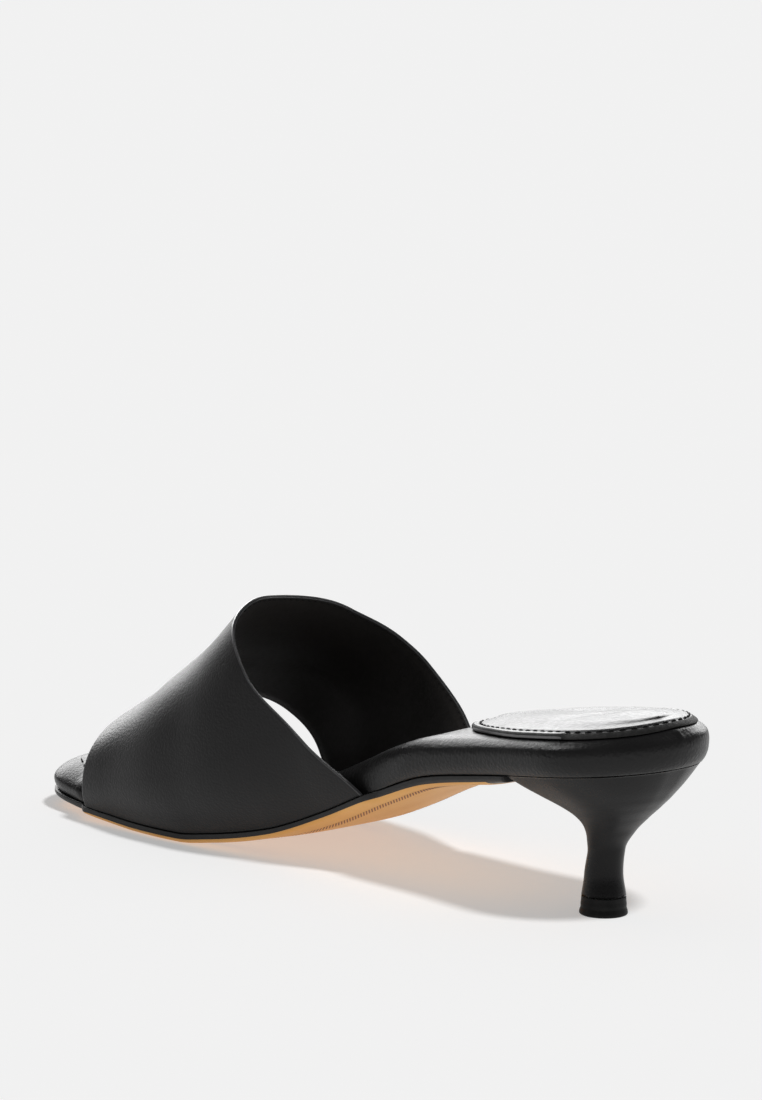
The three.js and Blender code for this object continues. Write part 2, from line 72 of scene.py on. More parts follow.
# Side profile of the feather line: share of the last length, share of the seat's rise, share of
# the toe spring.
PROFILE_ROWS = (
    (0.0, 1.0, 0.0),
    (0.12, 0.915, 0.0),
    (0.246, 0.806, 0.0),
    (0.33, 0.717, 0.0),
    (0.415, 0.537, 0.0),
    (0.5, 0.32, 0.0),
    (0.585, 0.134, 0.0),
    (0.67, 0.035, 0.0),
    (0.72, 0.0, 0.0),
    (0.79, 0.0, 0.0),
    (0.86, 0.0, 0.25),
    (0.93, 0.0, 0.58),
    (1.0, 0.0, 1.0),
)

# Sections of the vamp: share of the last length, crest height, lean of the crest, flare of the
# inner and the outer side, height of the widest points.
SECTION_ROWS = (
    (0.4, 1.23, 0.1, 0.24, 0.6, 0.48),
    (0.5, 1.282, 0.14, 0.88, 0.7, 0.42),
    (0.6, 1.156, 0.158, 1.0, 0.36, 0.34),
    (0.7, 0.881, 0.122, 0.76, 0.03, 0.26),
    (0.8, 0.613, 0.085, 0.48, 0.02, 0.19),
    (0.88, 0.416, 0.064, 0.24, 0.15, 0.13),
)

# Free edges of the vamp: share of the way over the foot, then topline and toe line as shares of
# the last length.
EDGE_ROWS = (
    (0.0, 0.432, 0.887),
    (0.12, 0.503, 0.879),
    (0.25, 0.586, 0.875),
    (0.4, 0.646, 0.872),
    (0.52, 0.656, 0.864),
    (0.65, 0.641, 0.843),
    (0.8, 0.562, 0.807),
    (0.9, 0.493, 0.77),
    (1.0, 0.428, 0.743),
)

# Thickness of the footbed: share of the last length, then shares of its heel, arch and toe
# thickness.
BED_ROWS = (
    (0.0, 1.0, 0.0, 0.0),
    (0.22, 1.0, 0.0, 0.0),
    (0.42, 0.0, 1.0, 0.0),
    (0.55, 0.0, 1.0, 0.0),
    (0.85, 0.0, 0.0, 1.0),
    (1.0, 0.0, 0.0, 1.0),
)

# Side of the footbed from its foot to its top: share of the thickness, share of the bulge, share
# of the shoulder.
BED_SIDE_ROWS = (
    (0.0, 0.0, 0.0),
    (0.16, 0.62, 0.0),
    (0.36, 0.95, 0.0),
    (0.54, 1.0, 0.0),
    (0.72, 0.96, 0.06),
    (0.86, 0.8, 0.26),
    (0.96, 0.5, 0.6),
    (1.0, 0.0, 1.0),
)

# Heel sections: share of the heel's height, shift toward the toe and half size as shares of the
# stem's width, share of the seat's own outline.
HEEL_ROWS = (
    (0.12, 0.31, 0.592, 0.0),
    (0.26, 0.33, 0.515, 0.0),
    (0.42, 0.25, 0.5, 0.0),
    (0.54, 0.07, 0.58, 0.03),
    (0.64, -0.165, 0.665, 0.104),
    (0.72, -0.34, 0.74, 0.222),
    (0.79, -0.42, 0.8, 0.388),
    (0.86, -0.41, 0.86, 0.595),
    (0.93, -0.34, 0.91, 0.807),
    (1.0, -0.25, 0.96, 1.0),
)


class Side(Enum):
    """The two long sides of the shoe."""

    INNER = 1
    OUTER = -1


class Curve:
    """Smooth curve through a table's points that never swings past them."""

    def __init__(self, xs: Sequence[float], ys: Sequence[float]) -> None:
        """Prepares the tangents.

        Args:
            xs: Places along the curve, rising.
            ys: Values at those places.
        """
        self.xs = np.asarray(xs, float)
        self.ys = np.asarray(ys, float)
        slopes = np.diff(self.ys) / np.diff(self.xs)
        before, after = slopes[:-1], slopes[1:]
        same = before * after > 0
        total = np.where(same, before + after, 1.0)
        inner = np.where(same, 2 * before * after / total, 0.0)
        self.tangents = np.concatenate([slopes[:1], inner, slopes[-1:]])

    @classmethod
    def column(cls, rows: Sequence[Sequence[float]], index: int) -> "Curve":
        """Curve through one column of a table, read at its first column."""
        return cls([row[0] for row in rows], [row[index] for row in rows])

    def __call__(self, at: np.ndarray | float) -> np.ndarray:
        """Value of the curve.

        Args:
            at: Places along the curve; past its ends it keeps its end values.

        Returns:
            The values at those places.
        """
        t = np.clip(at, self.xs[0], self.xs[-1])
        i = np.clip(np.searchsorted(self.xs, t, side="left") - 1, 0, len(self.xs) - 2)
        run = self.xs[i + 1] - self.xs[i]
        s = (t - self.xs[i]) / run
        keep = (1 + 2 * s) * (1 - s) ** 2
        rise = s * (1 - s) ** 2 * run
        fall = s**2 * (s - 1) * run
        take = s**2 * (3 - 2 * s)
        start = keep * self.ys[i] + rise * self.tangents[i]
        return start + take * self.ys[i + 1] + fall * self.tangents[i + 1]


def switch_over(value: np.ndarray | float, start: float, run: float) -> np.ndarray:
    """Smooth switch from 0 to 1 over a run that begins at start."""
    s = np.clip((np.asarray(value, float) - start) / run, 0, 1)
    return s * s * (3 - 2 * s)


def bell(value: np.ndarray | float, centre: float, width: float) -> np.ndarray:
    """Soft bump of height 1 round a centre."""
    return np.exp(-(((np.asarray(value, float) - centre) / width) ** 2))


def end_rounding(distance: np.ndarray, rounding: float, power: float) -> np.ndarray:
    """Share of the width left over the rounded end of an outline.

    Args:
        distance: Distance from the end.
        rounding: Length of the rounded end.
        power: 2 is an ellipse, more is squarer.

    Returns:
        Shares from 0 at the end to 1.
    """
    short = 1 - np.clip(distance, 0, rounding) / rounding
    return (1 - short**power) ** (1 / power)


def lengths_along(path: np.ndarray) -> np.ndarray:
    """Length of a path from its start to each of its points."""
    return np.concatenate([[0], np.cumsum(np.linalg.norm(np.diff(path, axis=0), axis=1))])


def crossing_rows(first: np.ndarray, second: np.ndarray, count: int) -> tuple[np.ndarray, np.ndarray]:
    """Rows in plan between two lines, without the lines themselves.

    Args:
        first: Points of the line on the inner side.
        second: Points of the line on the outer side.
        count: Steps of the way across.

    Returns:
        Shares of the way across, and the points in plan.
    """
    share = np.linspace(0, 1, count + 1)[1:-1, None, None]
    return share, first[None, :, :2] * (1 - share) + second[None, :, :2] * share


@dataclass(frozen=True)
class Fold:
    """Soft ridge or trough along a slanting line, fading toward its ends."""

    height: float
    slant: float
    place: float
    width: float
    centre: float
    spread: float
    crosswise: bool = False

    def lift(self, across: np.ndarray, along: np.ndarray) -> np.ndarray:
        """Height at places given across the fold's line and along it."""
        ridge = self.height * bell(across + self.slant * along, self.place, self.width)
        return ridge * bell(along, self.centre, self.spread)


# Creases of the vamp, in shares of the way to the topline and over the foot.
VAMP_CREASES = (
    Fold(-0.16, -0.18, 0.22, 0.08, 0.42, 0.16),
    Fold(0.12, -0.18, 0.36, 0.09, 0.4, 0.18),
    Fold(-0.14, 0.0, 0.6, 0.09, 0.52, 0.13),
    Fold(0.1, 0.0, 0.76, 0.08, 0.48, 0.14),
    Fold(-0.08, 0.4, 0.5, 0.12, 0.18, 0.1),
    Fold(-0.18, -0.3, 0.2, 0.08, 0.78, 0.12),
)

# Folds of the heel pad, in millimetres from the back and from the middle.
PAD_FOLDS = (
    Fold(0.28, 0.1, 9.0, 3.0, 38.0, 22.0),
    Fold(-0.22, 0.22, 3.0, 2.8, 46.0, 16.0),
    Fold(-0.3, -0.6, 29.0, 3.4, 6.0, 9.0, crosswise=True),
    Fold(0.22, -0.5, 22.0, 3.6, -2.0, 10.0, crosswise=True),
    Fold(0.2, -0.06, -5.0, 3.2, 20.0, 12.0),
    Fold(-0.2, -0.16, -13.0, 3.0, 40.0, 16.0),
    Fold(0.18, 0.3, 22.0, 3.2, 50.0, 10.0),
)


@dataclass(frozen=True)
class Last:
    """Feather line, sole and footbed sizes that every piece is built on, in millimetres."""

    length: float = 236.0
    ball_width: float = 65.0
    seat_height: float = 45.2
    toe_spring: float = 2.7
    heel_rounding: float = 29.5
    toe_rounding: float = 38.5
    heel_power: float = 2.0
    toe_power: float = 2.25
    sole_thickness: float = 2.9
    sole_toe_thickness: float = 1.7
    sole_breast_thickness: float = 1.2
    sole_step: float = 2.4
    step_run: float = 5.0
    breast: float = 45.0
    bed_heel: float = 11.3
    bed_arch: float = 10.8
    bed_toe: float = 8.5
    bed_bulge: float = 2.0
    bed_shoulder: float = 4.2
    bed_crown: float = 0.8
    bed_cant: float = 0.6
    vamp_wall: float = 1.6
    vamp_inset: float = 0.2
    bedside_share: float = 0.06

    @property
    def pinched_bulge(self) -> float:
        """Bulge of the footbed where the vamp's wall stands beside it."""
        return self.sole_step - self.vamp_inset - self.vamp_wall - GAP

    def feather_y(self, x: np.ndarray, side: np.ndarray | int) -> np.ndarray:
        """Place of the feather line across the shoe.

        Args:
            x: Stations from the back of the heel.
            side: 1 for the inner side, -1 for the outer side.

        Returns:
            Y of the feather line.
        """
        share = np.asarray(x, float) / self.length
        ends = end_rounding(np.asarray(x, float), self.heel_rounding, self.heel_power)
        ends = ends * end_rounding(self.length - np.asarray(x, float), self.toe_rounding, self.toe_power)
        return self.ball_width * (PLAN_CENTRE(share) + side * PLAN_HALF(share) * ends)

    def feather_z(self, x: np.ndarray) -> np.ndarray:
        """Height of the feather line over the floor."""
        share = np.asarray(x, float) / self.length
        rise = (self.seat_height - self.sole_thickness) * PROFILE_RISE(share)
        return self.sole_thickness + rise + self.toe_spring * PROFILE_SPRING(share)

    def sole_thickness_at(self, x: np.ndarray) -> np.ndarray:
        """Thickness of the outsole: thin at the breast, full under the ball, less at the toe."""
        ball_start, ball_end = 0.66 * self.length, 0.8 * self.length
        grown = switch_over(x, self.breast, ball_start - self.breast)
        back = self.sole_breast_thickness + (self.sole_thickness - self.sole_breast_thickness) * grown
        thinned = switch_over(x, ball_end, self.length - ball_end)
        return back + (self.sole_toe_thickness - back) * thinned

    def under_vamp(self, x: np.ndarray, side: Side, back_run: float | None = None) -> np.ndarray:
        """Where the vamp stands beside the footbed.

        Args:
            x: Stations from the back of the heel.
            side: Which side it is.
            back_run: Length of the change behind the vamp, the step's own run if left out.

        Returns:
            1 beside the vamp, 0 clear of it.
        """
        back_run = back_run or self.step_run
        foot, top = (0.0, self.bedside_share) if side is Side.INNER else (1.0, 1 - self.bedside_share)
        back = self.length * min(float(TOPLINE(foot)), float(TOPLINE(top)))
        front = self.length * max(float(TOELINE(foot)), float(TOELINE(top)))
        return switch_over(x, back - back_run, back_run) * (1 - switch_over(x, front, self.step_run))

    def bed_height(self, x: np.ndarray, y: np.ndarray) -> np.ndarray:
        """Height of the footbed's top over the feather line, crown and cant included."""
        share = np.asarray(x, float) / self.length
        inner, outer = self.feather_y(x, 1), self.feather_y(x, -1)
        middle = (inner + outer) / 2
        across = np.clip((y - middle) / np.maximum((inner - outer) / 2, 1), -1, 1)
        thickness = self.bed_heel * BED_HEEL(share) + self.bed_arch * BED_ARCH(share)
        thickness = thickness + self.bed_toe * BED_TOE(share)
        lean = np.clip((y - middle) / (self.ball_width * PLAN_HALF(share)), -1, 1)
        return thickness + self.bed_crown * (1 - across**2) - self.bed_cant * BED_HEEL(share) * lean

    def bed_top(self, x: np.ndarray, y: np.ndarray) -> np.ndarray:
        """Height of the footbed's top over the floor."""
        return self.feather_z(x) + self.bed_height(x, y)

    def shoulder_drop(self, x: np.ndarray, y: np.ndarray, from_edge: np.ndarray) -> np.ndarray:
        """How far the footbed's shoulder has fallen at a distance inside the feather line."""
        rows = [
            (shoulder * self.bed_shoulder - bulge * self.bed_bulge, up)
            for up, bulge, shoulder in BED_SIDE_ROWS
            if shoulder > 0
        ]
        return self.bed_height(x, y) * (1 - Curve.column(rows, 1)(from_edge))

    def outline(self, count: int, start: float = 0.0) -> dict[Side, "Line"]:
        """Feather line as two rows of points, evenly spaced along each side.

        Args:
            count: Points on each side.
            start: First station.

        Returns:
            One line for each side, from the start to the toe.
        """
        lines = {}
        turn = np.linspace(0, 1, 3000)
        x = start + (self.length - start) * (1 - np.cos(np.pi * turn)) / 2
        for side in Side:
            dense = Line.through(np.stack([x, self.feather_y(x, side.value)], 1), side)
            lines[side] = dense.resampled(count)
        return lines


PLAN_CENTRE, PLAN_HALF = Curve.column(PLAN_ROWS, 1), Curve.column(PLAN_ROWS, 2)
PROFILE_RISE, PROFILE_SPRING = Curve.column(PROFILE_ROWS, 1), Curve.column(PROFILE_ROWS, 2)
TOPLINE, TOELINE = Curve.column(EDGE_ROWS, 1), Curve.column(EDGE_ROWS, 2)
BED_HEEL, BED_ARCH, BED_TOE = (Curve.column(BED_ROWS, i) for i in (1, 2, 3))


@dataclass(frozen=True)
class Line:
    """Points of an outline in plan with their outward directions."""

    points: np.ndarray
    normals: np.ndarray

    @classmethod
    def through(cls, points: np.ndarray, side: Side) -> "Line":
        """Line through points that run toward the toe on one side."""
        along = np.gradient(points, axis=0)
        along /= np.maximum(np.linalg.norm(along, axis=1, keepdims=True), 1e-9)
        normals = np.stack([-along[:, 1], along[:, 0]], 1) * side.value
        return cls(points, normals)

    def resampled(self, count: int) -> "Line":
        """The same line with evenly spaced points."""
        reach = lengths_along(self.points)
        at = np.linspace(0, reach[-1], count)
        pick = [np.interp(at, reach, column) for column in (*self.points.T, *self.normals.T)]
        normals = np.stack(pick[2:], 1)
        normals /= np.linalg.norm(normals, axis=1, keepdims=True)
        return Line(np.stack(pick[:2], 1), normals)

    def offset(self, distance: np.ndarray | float) -> np.ndarray:
        """Points moved outward by a distance."""
        return self.points + self.normals * np.reshape(distance, (-1, 1))


class Skin:
    """Mesh that is gathered from grids of points, in millimetres of the last."""

    def __init__(self, name: str, shift: np.ndarray) -> None:
        """Starts an empty mesh.

        Args:
            name: Name of the piece.
            shift: Move from the last's own axes to the frame, in millimetres.
        """
        self.name = name
        self.shift = shift
        self.points: list[np.ndarray] = []
        self.faces: list[np.ndarray] = []
        self.slots: list[int] = []
        self.count = 0

    def add(self, points: np.ndarray) -> np.ndarray:
        """Adds a grid of points and returns their numbers in the same grid."""
        flat = np.asarray(points, float).reshape(-1, 3)
        numbers = np.arange(self.count, self.count + len(flat)).reshape(np.shape(points)[:-1])
        self.points.append(flat)
        self.count += len(flat)
        return numbers

    def cover(self, numbers: np.ndarray, slot: int = 0, closed: bool = False) -> None:
        """Covers a grid of numbered points with faces.

        Args:
            numbers: Grid of point numbers.
            slot: Material slot of the faces.
            closed: Whether each row runs back into its start.
        """
        grid = np.concatenate([numbers, numbers[:, :1]], 1) if closed else numbers
        faces = np.stack([grid[:-1, :-1], grid[:-1, 1:], grid[1:, 1:], grid[1:, :-1]], -1).reshape(-1, 4)
        self.faces.append(faces)
        self.slots += [slot] * len(faces)

    def turned(self, rings: Sequence[np.ndarray]) -> None:
        """Covers closed rings that rise from the floor, and closes both ends with a fan."""
        numbers = self.add(np.array(rings))
        self.cover(numbers[::-1], closed=True)
        for ring, row, flip in ((numbers[-1], rings[-1], True), (numbers[0], rings[0], False)):
            centre = self.add(row.mean(0)[None])
            sheet = np.stack([ring, np.full(len(ring), centre[0])])
            self.cover(sheet if flip else sheet[::-1], closed=True)

    def build(self, finishes: Sequence[bpy.types.Material]) -> bpy.types.Object:
        """Makes the Blender object, with smooth shading.

        Args:
            finishes: Materials of the slots.

        Returns:
            The new object, riding on the root body.
        """
        points = (np.concatenate(self.points) + self.shift) * MM
        faces = []
        slots = []
        for face, slot in zip(np.concatenate(self.faces).tolist(), self.slots):
            corners = list(dict.fromkeys(face))
            if len(corners) > 2:
                faces.append(corners)
                slots.append(slot)
        mesh = bpy.data.meshes.new(self.name)
        mesh.from_pydata(points.tolist(), [], faces)
        for finish in finishes:
            mesh.materials.append(finish)
        mesh.polygons.foreach_set("material_index", slots)
        mesh.polygons.foreach_set("use_smooth", [True] * len(faces))
        mesh.update()
        piece = bpy.data.objects.new(self.name, mesh)
        bpy.context.scene.collection.objects.link(piece)
        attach(piece, "root")
        return piece


class Value:
    """A number, colour or vector inside a material, with Python's own arithmetic on numbers."""

    def __init__(self, graph: "Graph", socket: bpy.types.NodeSocket) -> None:
        """Wraps an output socket of a graph's node."""
        self.graph = graph
        self.socket = socket

    def _math(self, operation: str, *inputs: "Value | float") -> "Value":
        """Adds a Math node for an operation on this graph."""
        return self.graph.node("ShaderNodeMath", {"operation": operation}, dict(enumerate(inputs)))

    def __add__(self, other: "Value | float") -> "Value":
        """Sum."""
        return self._math("ADD", self, other)

    def __radd__(self, other: float) -> "Value":
        """Sum with a number in front."""
        return self._math("ADD", other, self)

    def __sub__(self, other: "Value | float") -> "Value":
        """Difference."""
        return self._math("SUBTRACT", self, other)

    def __mul__(self, other: "Value | float") -> "Value":
        """Product."""
        return self._math("MULTIPLY", self, other)

    def smooth(self, low: float, high: float) -> "Value":
        """Smooth step from 0 at low to 1 at high."""
        inputs = {"Value": self, "From Min": low, "From Max": high}
        return self.graph.node("ShaderNodeMapRange", {"interpolation_type": "SMOOTHSTEP"}, inputs)


class Graph:
    """Node tree of one material."""

    def __init__(self, name: str) -> None:
        """Makes the material with its shader and output."""
        self.material = bpy.data.materials.new(name)
        self.material.use_nodes = True
        self.tree = self.material.node_tree
        self.tree.nodes.clear()
        self.shader = self.tree.nodes.new("ShaderNodeBsdfPrincipled")
        output = self.tree.nodes.new("ShaderNodeOutputMaterial")
        self.tree.links.new(self.shader.outputs[0], output.inputs["Surface"])

    def put(self, socket: bpy.types.NodeSocket, value: "Value | float | Sequence[float]") -> None:
        """Links a value to a socket, or sets the socket."""
        if isinstance(value, Value):
            self.tree.links.new(value.socket, socket)
        else:
            socket.default_value = value

    def node(
        self,
        kind: str,
        settings: dict[str, object] | None = None,
        inputs: dict[str | int, "Value | float | Sequence[float]"] | None = None,
        output: int | str = 0,
    ) -> Value:
        """Adds a node.

        Args:
            kind: Blender's type of the node.
            settings: The node's own settings, set first; stops sets a colour ramp.
            inputs: Values or links of its sockets, by name or number.
            output: The output that is wanted.

        Returns:
            That output as a value.
        """
        node = self.tree.nodes.new(kind)
        for name, value in (settings or {}).items():
            if name == "stops":
                self._ramp(node, value)
            else:
                setattr(node, name, value)
        for name, value in (inputs or {}).items():
            self.put(node.inputs[name], value)
        return Value(self, node.outputs[output])

    @staticmethod
    def _ramp(node: bpy.types.Node, stops: Sequence[tuple[float, Sequence[float]]]) -> None:
        """Sets the stops of a colour ramp."""
        elements = node.color_ramp.elements
        while len(elements) < len(stops):
            elements.new(1.0)
        for element, (place, colour) in zip(elements, stops):
            element.position = place
            element.color = (*colour, 1)

    def surface(self, **sockets: "Value | float | Sequence[float]") -> None:
        """Sets the shader's sockets; an underscore stands for a space."""
        for name, value in sockets.items():
            self.put(self.shader.inputs[name.replace("_", " ")], value)

    def place(self) -> Value:
        """Place on the object, in metres."""
        return self.node("ShaderNodeTexCoord", output="Object")

    def noise(self, place: Value, scale: float, detail: float = 3.0, roughness: float = 0.5) -> Value:
        """Soft noise of a given number of waves in a metre."""
        inputs = {"Vector": place, "Scale": scale, "Detail": detail, "Roughness": roughness}
        return self.node("ShaderNodeTexNoise", {}, inputs)

    def cells(self, place: Value, scale: float) -> Value:
        """Distance inside cells, as the pebbles of grained leather."""
        inputs = {"Vector": place, "Scale": scale}
        return self.node("ShaderNodeTexVoronoi", {"feature": "SMOOTH_F1"}, inputs, "Distance")

    def bent(self, place: Value, scale: float, amount: float) -> Value:
        """Place shifted by a soft noise, so that cells aren't even."""
        inputs = {"Vector": place, "Scale": scale, "Detail": 2.0}
        shift = self.node("ShaderNodeTexNoise", {}, inputs, "Color")
        scaled = self.node("ShaderNodeVectorMath", {"operation": "SCALE"}, {0: shift, "Scale": amount})
        return self.node("ShaderNodeVectorMath", {"operation": "ADD"}, {0: place, 1: scaled})

    def mix(self, share: Value | float, first: Sequence[float], second: Sequence[float]) -> Value:
        """Colour between two colours."""
        inputs = {0: share, 6: (*first, 1), 7: (*second, 1)}
        return self.node("ShaderNodeMix", {"data_type": "RGBA"}, inputs, 2)

    def bump(self, height: Value, distance: float) -> Value:
        """Bumped normal from a height in the given distance in metres."""
        inputs = {"Height": height, "Distance": distance, "Strength": 1.0}
        return self.node("ShaderNodeBump", {}, inputs)


@dataclass(frozen=True)
class Leather:
    """Dyed leather with grain: colours, gloss and the size and depth of its pebbles."""

    name: str
    colour: tuple[float, float, float]
    worn: tuple[float, float, float]
    roughness: float
    pebble: float
    depth: float
    crinkle: float = 0.0
    specular: float = 0.5
    coat: float = 0.0
    coat_roughness: float = 0.3

    def material(self) -> bpy.types.Material:
        """Builds the leather.

        Returns:
            The material, with grain in its bump, roughness and colour.
        """
        graph = Graph(self.name)
        place = graph.place()
        warped = graph.bent(place, 500 / self.pebble, 0.0004 * self.pebble)
        pebbles = graph.cells(warped, 1000 / self.pebble)
        fine = graph.noise(place, 4200 / self.pebble, 2.0)
        broad = graph.noise(place, 55.0, 3.0)
        folds = graph.noise(place, 320.0, 4.0, 0.6)
        height = pebbles * -1.0 + fine * 0.35 + folds * self.crinkle
        cloudy = broad.smooth(0.35, 0.7)
        colour = graph.mix(cloudy * 0.5 + pebbles * 0.35, self.colour, self.worn)
        rough = self.roughness + (broad - 0.5) * 0.16 + (pebbles - 0.4) * 0.12
        graph.surface(
            Base_Color=colour,
            Roughness=rough,
            Specular_IOR_Level=self.specular,
            Coat_Weight=self.coat,
            Coat_Roughness=self.coat_roughness,
            Normal=graph.bump(height, self.depth * MM),
        )
        return graph.material


@dataclass(frozen=True)
class SoleLeather:
    """Smooth tan sole leather with fine fibres, a little deeper in broad clouds."""

    name: str = "sole_tan"
    pale: tuple[float, float, float] = (0.8, 0.43, 0.13)
    deep: tuple[float, float, float] = (0.68, 0.31, 0.055)

    def material(self) -> bpy.types.Material:
        """Builds the tan sole leather."""
        graph = Graph(self.name)
        place = graph.place()
        stretched = graph.node("ShaderNodeMapping", {}, {"Vector": place, "Scale": (0.3, 1.0, 1.0)})
        fibres = graph.noise(stretched, 2600.0, 4.0, 0.6)
        broad = graph.noise(place, 40.0, 3.0)
        colour = graph.mix(broad.smooth(0.3, 0.75) * 0.5 + fibres * 0.25, self.pale, self.deep)
        graph.surface(
            Base_Color=colour,
            Roughness=0.42 + fibres * 0.2,
            Normal=graph.bump(fibres, 0.03 * MM),
        )
        return graph.material


@dataclass(frozen=True)
class EdgePaint:
    """Painted cut edge: a thin wavy film with a soft shine; also the grey painted highlight on the heel
    pad's flat border.
    """

    name: str
    colour: tuple[float, float, float] = (0.016, 0.015, 0.015)
    roughness: float = 0.34
    wave: float = 0.05
    specular: float = 0.5

    def material(self) -> bpy.types.Material:
        """Builds the edge paint."""
        graph = Graph(self.name)
        place = graph.place()
        waves = graph.noise(place, 700.0, 3.0)
        grit = graph.noise(place, 5200.0, 2.0)
        pale = tuple(1.8 * part for part in self.colour)
        graph.surface(
            Base_Color=graph.mix(waves.smooth(0.3, 0.8), self.colour, pale),
            Roughness=self.roughness + grit * 0.15,
            Specular_IOR_Level=self.specular,
            Normal=graph.bump(waves + grit * 0.2, self.wave * MM),
        )
        return graph.material


@dataclass(frozen=True)
class Thread:
    """Waxed sewing thread with its twist."""

    name: str = "thread_black"
    colour: tuple[float, float, float] = (0.005, 0.005, 0.005)

    def material(self) -> bpy.types.Material:
        """Builds the thread."""
        graph = Graph(self.name)
        place = graph.place()
        twist = graph.node(
            "ShaderNodeTexWave",
            {"wave_type": "BANDS", "bands_direction": "DIAGONAL"},
            {"Vector": place, "Scale": 900.0, "Distortion": 1.0},
        )
        pale = tuple(2.2 * part for part in self.colour)
        graph.surface(
            Base_Color=graph.mix(twist, self.colour, pale),
            Roughness=0.5 + graph.noise(place, 3000.0) * 0.2,
            Specular_IOR_Level=0.2,
            Normal=graph.bump(twist, 0.05 * MM),
        )
        return graph.material


@dataclass(frozen=True)
class PressedMark:
    """Brown of the pressed marks near the sole's edge."""

    name: str = "sole_marks"
    colour: tuple[float, float, float] = (0.2, 0.075, 0.035)

    def material(self) -> bpy.types.Material:
        """Builds the brown of the marks."""
        graph = Graph(self.name)
        waves = graph.noise(graph.place(), 1500.0, 2.0)
        pale = tuple(1.6 * part for part in self.colour)
        graph.surface(
            Base_Color=graph.mix(waves, self.colour, pale),
            Roughness=0.6 + waves * 0.15,
            Normal=graph.bump(waves, 0.03 * MM),
        )
        return graph.material


@dataclass(frozen=True)
class Rubber:
    """Matt moulded rubber of the top piece, with a few scuffs."""

    name: str = "top_piece_rubber"
    colour: tuple[float, float, float] = (0.004, 0.004, 0.004)
    scuffed: tuple[float, float, float] = (0.014, 0.0137, 0.0135)

    def material(self) -> bpy.types.Material:
        """Builds the rubber."""
        graph = Graph(self.name)
        place = graph.place()
        grit = graph.noise(place, 3800.0, 3.0)
        smears = graph.noise(place, 260.0, 4.0, 0.6)
        graph.surface(
            Base_Color=graph.mix(smears.smooth(0.45, 0.75) * 0.6, self.colour, self.scuffed),
            Roughness=0.4 + grit * 0.2,
            Specular_IOR_Level=0.16,
            Normal=graph.bump(grit + smears * 0.5, 0.04 * MM),
        )
        return graph.material


@dataclass(frozen=True)
class Stitch:
    """Sizes of a row of stitches, in millimetres.

    The pitch runs from stitch to stitch, the reach is the thread that shows in each, the radius
    is the thread's own, and sunk is the share of the radius that lies below the surface.
    """

    pitch: float
    reach: float
    radius: float
    sunk: float


def stitch_row(
    name: str,
    shift: np.ndarray,
    path: np.ndarray,
    normals: np.ndarray,
    finish: bpy.types.Material,
    stitch: Stitch,
) -> bpy.types.Object:
    """Sews a row of stitches along a path.

    Args:
        name: Name of the piece.
        shift: Move to the frame, in millimetres.
        path: Points along the seam, in millimetres.
        normals: Outward directions at those points.
        finish: Material of the thread.
        stitch: Sizes of the stitches.

    Returns:
        The row of stitches.
    """
    along = lengths_along(path)
    radius = stitch.radius
    count = max(int(along[-1] / stitch.pitch), 1)
    centres = (np.arange(count) + 0.5) * along[-1] / count
    skin = Skin(name, shift)
    turns = np.linspace(0, 2 * np.pi, 9)[:-1]
    lengths = np.linspace(-1, 1, 9)

    def spot(at: float, column: np.ndarray) -> np.ndarray:
        """Interpolates a row of vectors at a length along the seam."""
        return np.array([np.interp(at, along, column[:, k]) for k in range(3)])

    for centre in centres:
        rings = []
        for length in lengths:
            at = centre + length * stitch.reach / 2
            up = spot(at, normals)
            up /= np.linalg.norm(up)
            ahead = spot(at + 0.05, path) - spot(at - 0.05, path)
            across = np.cross(up, ahead)
            across /= max(np.linalg.norm(across), 1e-9)
            round_off = math.sqrt(max(1 - abs(length) ** 3, 0.0))
            dip = radius * (1.6 * abs(length) ** 3 + stitch.sunk)
            middle = spot(at, path) + up * (radius - dip)
            wide = radius * (0.25 + 0.75 * round_off)
            rings.append([middle + wide * (math.cos(t) * across + math.sin(t) * up) for t in turns])
        numbers = skin.add(np.array(rings))
        skin.cover(numbers, closed=True)
    return skin.build([finish])


